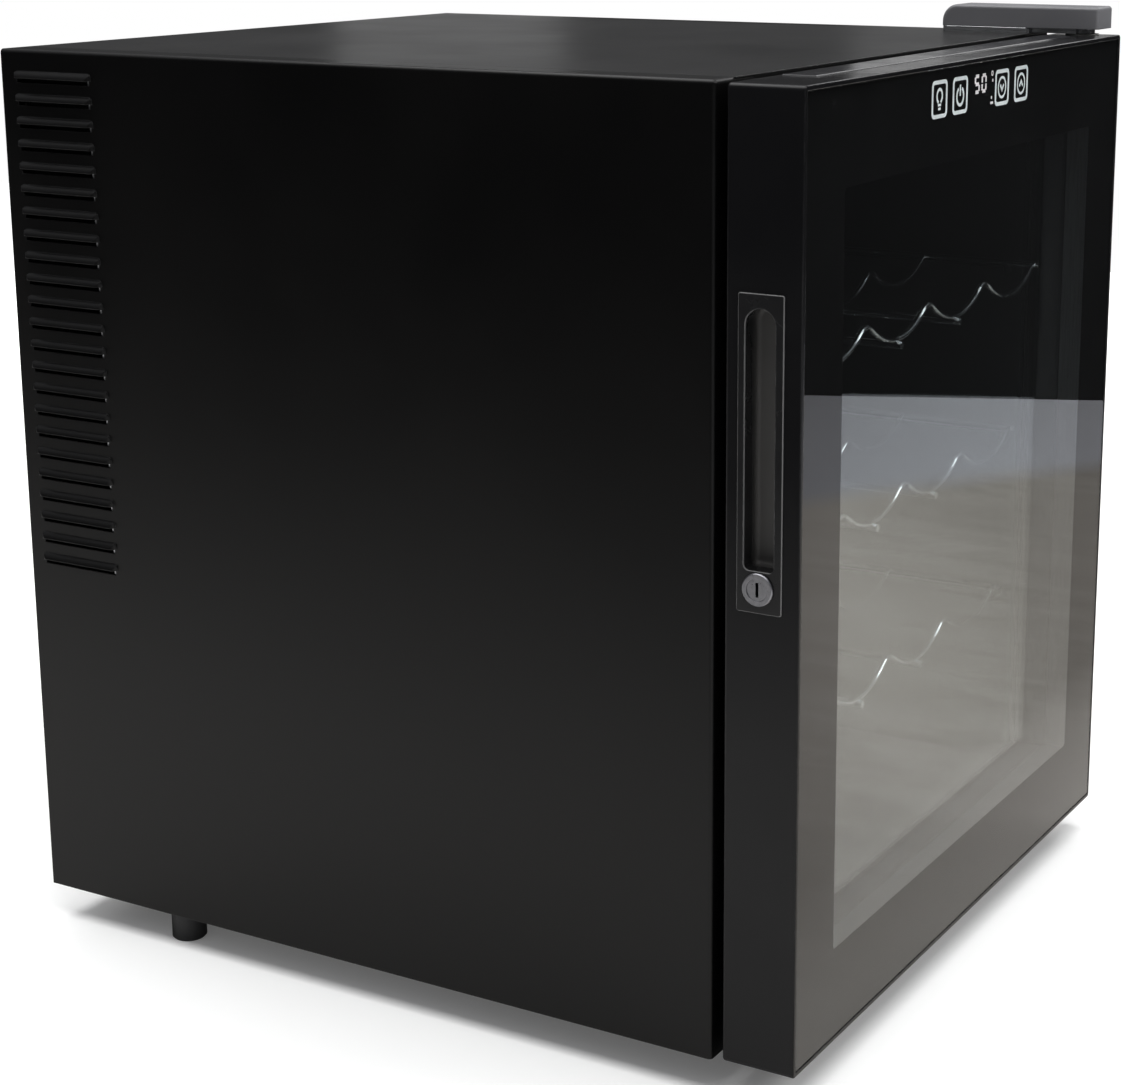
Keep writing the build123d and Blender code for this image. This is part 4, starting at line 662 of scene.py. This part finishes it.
def add_piece(name, bm, finish, body, smooth=False):
    """Turns a bmesh into a piece that rides on a body."""
    bmesh.ops.recalc_face_normals(bm, faces=bm.faces)
    mesh = bpy.data.meshes.new(name)
    for face in bm.faces:
        face.smooth = smooth
    bm.to_mesh(mesh)
    bm.free()
    piece = bpy.data.objects.new(name, mesh)
    bpy.context.scene.collection.objects.link(piece)
    mesh.materials.append(finish)
    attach(piece, body)
    return piece


def rounded_loop(x, z, half_x, half_z, radius):
    """Points round a rectangle with rounded corners, in millimetres."""
    points = []
    corners = ((1, 1, 0.0), (-1, 1, 90.0), (-1, -1, 180.0), (1, -1, 270.0))
    for sign_x, sign_z, start in corners:
        for step in range(CORNER_STEPS + 1):
            turn = math.radians(start + 90.0 * step / CORNER_STEPS)
            px = x + sign_x * (half_x - radius) + radius * math.cos(turn)
            pz = z + sign_z * (half_z - radius) + radius * math.sin(turn)
            points.append((px, pz))
    return points


def arc_points(x, z, radius, arc, steps):
    """Points along an arc, angles in degrees from +X towards +Z."""
    start, end = arc
    turns = [math.radians(start + (end - start) * step / steps) for step in range(steps + 1)]
    return [(x + radius * math.cos(turn), z + radius * math.sin(turn)) for turn in turns]


def circle_points(x, z, radius, steps):
    return arc_points(x, z, radius, (0.0, 360.0), steps)[:-1]


def print_points(bm, loop, y):
    """The front and the back points of a printed shape."""
    front = [bm.verts.new((px * MM, y * MM, pz * MM)) for px, pz in loop]
    back = [bm.verts.new((px * MM, (y + PRINT_DEPTH_MM) * MM, pz * MM)) for px, pz in loop]
    return front, back


def print_band(bm, outer, inner, y=MARK_Y_MM):
    """A flat printed ring between two loops with the same number of points."""
    out_front, out_back = print_points(bm, outer, y)
    in_front, in_back = print_points(bm, inner, y)
    count = len(outer)
    for k in range(count):
        n = (k + 1) % count
        bm.faces.new((out_front[k], out_front[n], in_front[n], in_front[k]))
        bm.faces.new((out_back[k], in_back[k], in_back[n], out_back[n]))
        bm.faces.new((out_front[k], out_back[k], out_back[n], out_front[n]))
        bm.faces.new((in_front[k], in_front[n], in_back[n], in_back[k]))


def print_stroke(bm, path, width):
    """A printed line of even width along an open path, with square mitred joints."""
    half = width / 2.0
    left, right = [], []
    last = len(path) - 1
    for k, point in enumerate(path):
        here = Vector(point)
        ahead = (Vector(path[min(k + 1, last)]) - here) if k < last else (here - Vector(path[k - 1]))
        behind = (here - Vector(path[k - 1])) if k > 0 else ahead
        ahead.normalize()
        behind.normalize()
        along = (ahead + behind).normalized()
        side = Vector((-along.y, along.x))
        reach = half / max(MITRE_LIMIT, side.dot(Vector((-ahead.y, ahead.x))))
        if k == 0:
            here = here - ahead * half * LINE_OVERRUN
        if k == last:
            here = here + ahead * half * LINE_OVERRUN
        left.append(tuple(here + side * reach))
        right.append(tuple(here - side * reach))
    left_front, left_back = print_points(bm, left, MARK_Y_MM)
    right_front, right_back = print_points(bm, right, MARK_Y_MM)
    for k in range(last):
        n = k + 1
        bm.faces.new((left_front[k], left_front[n], right_front[n], right_front[k]))
        bm.faces.new((left_back[k], right_back[k], right_back[n], left_back[n]))
        bm.faces.new((left_front[k], left_back[k], left_back[n], left_front[n]))
        bm.faces.new((right_front[k], right_front[n], right_back[n], right_back[k]))
    bm.faces.new((left_front[0], right_front[0], right_back[0], left_back[0]))
    bm.faces.new((left_front[last], left_back[last], right_back[last], right_front[last]))


def print_dot(bm, x, z, radius, steps=20):
    """A flat printed disc."""
    front, back = print_points(bm, circle_points(x, z, radius, steps), MARK_Y_MM)
    bm.faces.new(front)
    bm.faces.new(list(reversed(back)))
    for k in range(steps):
        n = (k + 1) % steps
        bm.faces.new((front[k], back[k], back[n], front[n]))


def make_border_print(ink):
    """The black border on the glass with its clear window."""
    bm = bmesh.new()
    print_low, print_high = PRINT_Z_MM
    window_low, window_high = WINDOW_Z_MM
    middle = (print_low + print_high) / 2.0
    window_middle = (window_low + window_high) / 2.0
    outer = rounded_loop(0.0, middle, PRINT_HALF_MM, (print_high - print_low) / 2.0, PRINT_CORNER_MM)
    inner = rounded_loop(
        0.0, window_middle, WINDOW_HALF_MM, (window_high - window_low) / 2.0, WINDOW_CORNER_MM
    )
    print_band(bm, outer, inner, PRINT_Y_MM)
    add_piece("border_print", bm, ink, "door")


def key_frame(bm, x):
    """The rounded square round one touch key."""
    half_x, half_z = KEY_HALF_MM
    outer = rounded_loop(x, KEY_Z_MM, half_x, half_z, KEY_CORNER_MM[0])
    inner = rounded_loop(x, KEY_Z_MM, half_x - KEY_LINE_MM, half_z - KEY_LINE_MM, KEY_CORNER_MM[1])
    print_band(bm, outer, inner)


def lamp_mark(bm, x):
    """A bulb over the two bars of its cap."""
    print_stroke(bm, arc_points(x, KEY_Z_MM + BULB_RISE_MM, BULB_RADIUS_MM, BULB_ARC_DEG, 22), BULB_LINE_MM)
    for rise, half in CAP_BARS_MM:
        print_stroke(bm, [(x - half, KEY_Z_MM + rise), (x + half, KEY_Z_MM + rise)], CAP_LINE_MM)


def power_mark(bm, x):
    """An open ring with a bar in its gap."""
    ring = arc_points(x, KEY_Z_MM + POWER_RISE_MM, POWER_RADIUS_MM, POWER_ARC_DEG, 30)
    print_stroke(bm, ring, POWER_LINE_MM)
    print_stroke(bm, [(x, KEY_Z_MM + rise) for rise in POWER_BAR_MM], POWER_LINE_MM)


def ringed_chevron(bm, x, way):
    """A chevron in a ring, up for a way of 1 and down for -1."""
    print_band(bm, *[circle_points(x, KEY_Z_MM, radius, 30) for radius in RING_RADII_MM])
    tip = KEY_Z_MM + CHEVRON_TIP_MM * way
    foot = KEY_Z_MM - CHEVRON_FOOT_MM * way
    print_stroke(bm, [(x - CHEVRON_HALF_MM, foot), (x, tip), (x + CHEVRON_HALF_MM, foot)], CHEVRON_LINE_MM)


def make_touch_keys(ink):
    """Four keys, each with a plain sign for what it does."""
    signs = {
        "lamp": lamp_mark,
        "power": power_mark,
        "colder": lambda bm, x: ringed_chevron(bm, x, -1.0),
        "warmer": lambda bm, x: ringed_chevron(bm, x, 1.0),
    }
    for name, x in KEY_X_MM.items():
        bm = bmesh.new()
        key_frame(bm, x)
        signs[name](bm, x)
        add_piece("key_" + name, bm, ink, "door")


def make_figures(ink):
    """The two figures of the display."""
    bm = bmesh.new()
    inset = DIGIT_LINE_MM / 2.0
    wide = DIGIT_SIZE_MM[0] - 2 * inset
    tall = DIGIT_SIZE_MM[1] - 2 * inset
    low = DIGIT_Z_MM + inset
    for left, figure in zip(DIGIT_X_MM, DIGIT_FIGURES):
        for segment in SEGMENTS[figure]:
            (ax, az), (bx, bz) = SEGMENT_ENDS[segment]
            start = Vector((left + inset + ax * wide, low + az * tall))
            stop = Vector((left + inset + bx * wide, low + bz * tall))
            along = (stop - start).normalized() * SEGMENT_GAP_MM
            print_stroke(bm, [tuple(start + along), tuple(stop - along)], SEGMENT_LINE_MM)
    add_piece("display_figures", bm, ink, "door")


def make_display_marks(ink):
    """The small lit marks beside the figures."""
    bm = bmesh.new()
    print_band(bm, *[circle_points(*DEGREE_MM, radius, 18) for radius in DEGREE_RADII_MM])
    for x, z in STATUS_DOTS_MM:
        print_dot(bm, x, z, STATUS_DOT_RADIUS_MM)
    print_stroke(bm, STATUS_BAR_MM, STATUS_LINE_MM)
    add_piece("display_marks", bm, ink, "door")


def soften(loop, rounds):
    """Cuts the corners of a closed loop."""
    for _ in range(rounds):
        cut = []
        for k, (ax, ay) in enumerate(loop):
            bx, by = loop[(k + 1) % len(loop)]
            cut.append((0.75 * ax + 0.25 * bx, 0.75 * ay + 0.25 * by))
            cut.append((0.25 * ax + 0.75 * bx, 0.25 * ay + 0.75 * by))
        loop = cut
    return loop


def make_bellows_gasket(finish):
    """The rubber seal: two folded walls and a soft face, mitred at the corners."""
    low, high = SEAL_Z_MM
    middle = (low + high) / 2.0
    half_z = (high - low) / 2.0
    bm = bmesh.new()
    rings = []
    for offset, y in soften(SEAL_PROFILE_MM, SEAL_SOFTENING):
        ring = []
        for sign_x, sign_z in ((1, 1), (-1, 1), (-1, -1), (1, -1)):
            x = sign_x * (SEAL_HALF_MM + offset)
            z = middle + sign_z * (half_z + offset)
            ring.append(bm.verts.new((x * MM, y * MM, z * MM)))
        rings.append(ring)
    for k, ring in enumerate(rings):
        following = rings[(k + 1) % len(rings)]
        for side in range(4):
            far = (side + 1) % 4
            bm.faces.new((ring[side], ring[far], following[far], following[side]))
    for k, ring in enumerate(rings):
        following = rings[(k + 1) % len(rings)]
        for corner in range(4):
            bm.edges.get((ring[corner], following[corner])).smooth = False
    piece = add_piece("door_bellows_seal", bm, finish, "door", True)
    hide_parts("door_gasket")


def lay_flat(name, corners, height, finish):
    """A flat sheet of the studio, which isn't part of the cooler."""
    bm = bmesh.new()
    bm.faces.new([bm.verts.new((x, y, height)) for x, y in corners])
    mesh = bpy.data.meshes.new(name)
    bm.to_mesh(mesh)
    bm.free()
    sheet = bpy.data.objects.new(name, mesh)
    bpy.context.scene.collection.objects.link(sheet)
    mesh.materials.append(finish)
    return sheet


def world_place(tree):
    return put(tree, "ShaderNodeNewGeometry").outputs["Position"]


def make_floor():
    """The pale studio floor."""
    finish, tree, shader = new_finish("studio_floor", {"Specular IOR Level": 0.1, "Emission Strength": 1.0})
    drift = spread(tree, cloud(tree, 3.0, 4.0), 0.0, 1.0, 0.3, 0.7)
    tree.links.new(mix_tones(tree, drift, FLOOR_TONES), shader.inputs["Base Color"])
    tree.links.new(spread(tree, drift, 0.75, 0.85), shader.inputs["Roughness"])
    away = put(tree, "ShaderNodeVectorMath", {0: world_place(tree)}, operation="LENGTH").outputs["Value"]
    share = spread(tree, away, 0.0, 1.0, FLOOR_GLOW_REACH[0], FLOOR_GLOW_REACH[1])
    tree.links.new(mix_tones(tree, share, FLOOR_GLOW), shader.inputs["Emission Color"])
    low_x, high_x = FLOOR_X
    low_y, high_y = FLOOR_Y
    corners = ((low_x, low_y), (high_x, low_y), (high_x, high_y), (low_x, high_y))
    floor = lay_flat("studio_floor", corners, 0.0, finish)
    floor.visible_glossy = False
    floor.visible_transmission = False


def floor_share(tree, way, low, high):
    """0 to 1 over the floor, between two distances along a direction."""
    feeds = {0: world_place(tree), 1: way}
    along = put(tree, "ShaderNodeVectorMath", feeds, operation="DOT_PRODUCT").outputs["Value"]
    return spread(tree, along, 0.0, 1.0, low, high)


def new_card_finish(name):
    return new_finish(name, {"Specular IOR Level": 0.0, "Roughness": 1.0})


def lay_card(name, corners, finish):
    """A card on the floor that shows only in the gloss of the cooler."""
    card = lay_flat(name, corners, CARD_HEIGHT, finish)
    card.visible_camera = False
    card.visible_diffuse = False
    card.visible_shadow = False


def lay_front_card():
    """The streaked grey card before the door."""
    finish, tree, shader = new_card_finish("front_card")
    drawn = stretched(tree, world_place(tree), FRONT_STREAK)
    streaks = spread(tree, cloud(tree, 3.0, 6.0, 0.62, 0.6, drawn), 0.0, 1.0, 0.3, 0.7)
    light = mix_tones(tree, streaks, FRONT_LIGHT)
    dull = mix_tones(tree, streaks, FRONT_DULL)
    middle = mix_colour(tree, floor_share(tree, *FRONT_DULL_REACH), light, dull)
    near = mix_colour(tree, floor_share(tree, *FRONT_NEAR_REACH), rgb(FRONT_NEAR), middle)
    whole = mix_colour(tree, floor_share(tree, *FRONT_FAR_REACH), near, rgb(FRONT_FAR))
    tree.links.new(whole, shader.inputs["Base Color"])
    lay_card("front_card", FRONT_CARD, finish)


def lay_fading_card(name, corners, way, reach):
    """A pale card that darkens away from the cooler."""
    finish, tree, shader = new_card_finish(name)
    share = floor_share(tree, way, reach[0], reach[1])
    tree.links.new(mix_tones(tree, share, (CARD_PALE, CARD_DARK)), shader.inputs["Base Color"])
    lay_card(name, corners, finish)


def make_cards():
    """Cards before the door, at the sides and the rear, and a white one at the front left."""
    lay_front_card()
    for name, values in FADING_CARDS.items():
        lay_fading_card(name, *values)
    finish, tree, shader = new_card_finish("white_card")
    shader.inputs["Base Color"].default_value = rgb(CARD_WHITE)
    lay_card("white_card", WHITE_CARD, finish)


def make_world():
    """White to the camera, a dim room to everything else."""
    world = bpy.data.worlds.new("studio")
    bpy.context.scene.world = world
    world.use_nodes = True
    tree = world.node_tree
    tree.nodes.clear()
    way = put(tree, "ShaderNodeTexCoord").outputs["Generated"]
    height = put(tree, "ShaderNodeSeparateXYZ", {0: way}).outputs["Z"]
    ramp = put(tree, "ShaderNodeValToRGB", {0: spread(tree, height, 0.0, 1.0, -1.0, 1.0)})
    bands = ramp.color_ramp.elements
    bands[0].position, bands[0].color = 0.0, rgb(ROOM_DOWN)
    bands[1].position, bands[1].color = 1.0, rgb(ROOM_UP)
    for place, level in ROOM_BANDS:
        bands.new(place).color = (level, level, level * ROOM_BLUE, 1.0)
    dim = put(tree, "ShaderNodeBackground", {0: ramp.outputs["Color"], 1: 1.0}).outputs[0]
    white = put(tree, "ShaderNodeBackground", {0: (1.0, 1.0, 1.0, 1.0), 1: 1.0}).outputs[0]
    seen = put(tree, "ShaderNodeLightPath").outputs["Is Camera Ray"]
    both = put(tree, "ShaderNodeMixShader", {0: seen, 1: dim, 2: white}).outputs[0]
    put(tree, "ShaderNodeOutputWorld", {0: both})


def add_softbox(name, place, aim, size, power, shines):
    """A rectangular area light that the camera doesn't see."""
    lamp = bpy.data.lights.new(name, "AREA")
    lamp.shape = "RECTANGLE"
    lamp.size, lamp.size_y = size
    lamp.energy = power
    box = bpy.data.objects.new(name, lamp)
    box.location = place
    way = Vector(aim) - Vector(place)
    box.rotation_euler = way.to_track_quat("-Z", "Y").to_euler()
    box.visible_camera = False
    box.visible_glossy = shines
    bpy.context.scene.collection.objects.link(box)


def make_lights():
    for name, values in SOFTBOXES.items():
        add_softbox(name, *values)


def make_camera():
    lens = bpy.data.cameras.new("photo_camera")
    lens.sensor_fit = "HORIZONTAL"
    lens.sensor_width = CAMERA_SENSOR
    lens.lens = CAMERA_LENS
    lens.shift_x, lens.shift_y = CAMERA_SHIFT
    lens.dof.use_dof = False
    lens.clip_start, lens.clip_end = CAMERA_CLIP
    camera = bpy.data.objects.new("photo_camera", lens)
    camera.location = CAMERA_PLACE
    camera.rotation_euler = [math.radians(turn) for turn in CAMERA_TURN_DEG]
    bpy.context.scene.collection.objects.link(camera)
    bpy.context.scene.camera = camera


finishes = dress_cabinet()
wear_finishes(finishes)
make_border_print(printed_ink("border_ink", BORDER_TONES))
make_touch_keys(lit_ink("key_ink", KEY_TONES, KEY_GLOW))
figure_ink = lit_ink("figure_ink", FIGURE_TONES, FIGURE_GLOW)
make_figures(figure_ink)
make_display_marks(figure_ink)
make_bellows_gasket(finishes["gasket_rubber"])
make_floor()
make_cards()
make_world()
make_lights()
make_camera()

settings = bpy.context.scene.view_settings
settings.view_transform = "Standard"
settings.look = "None"
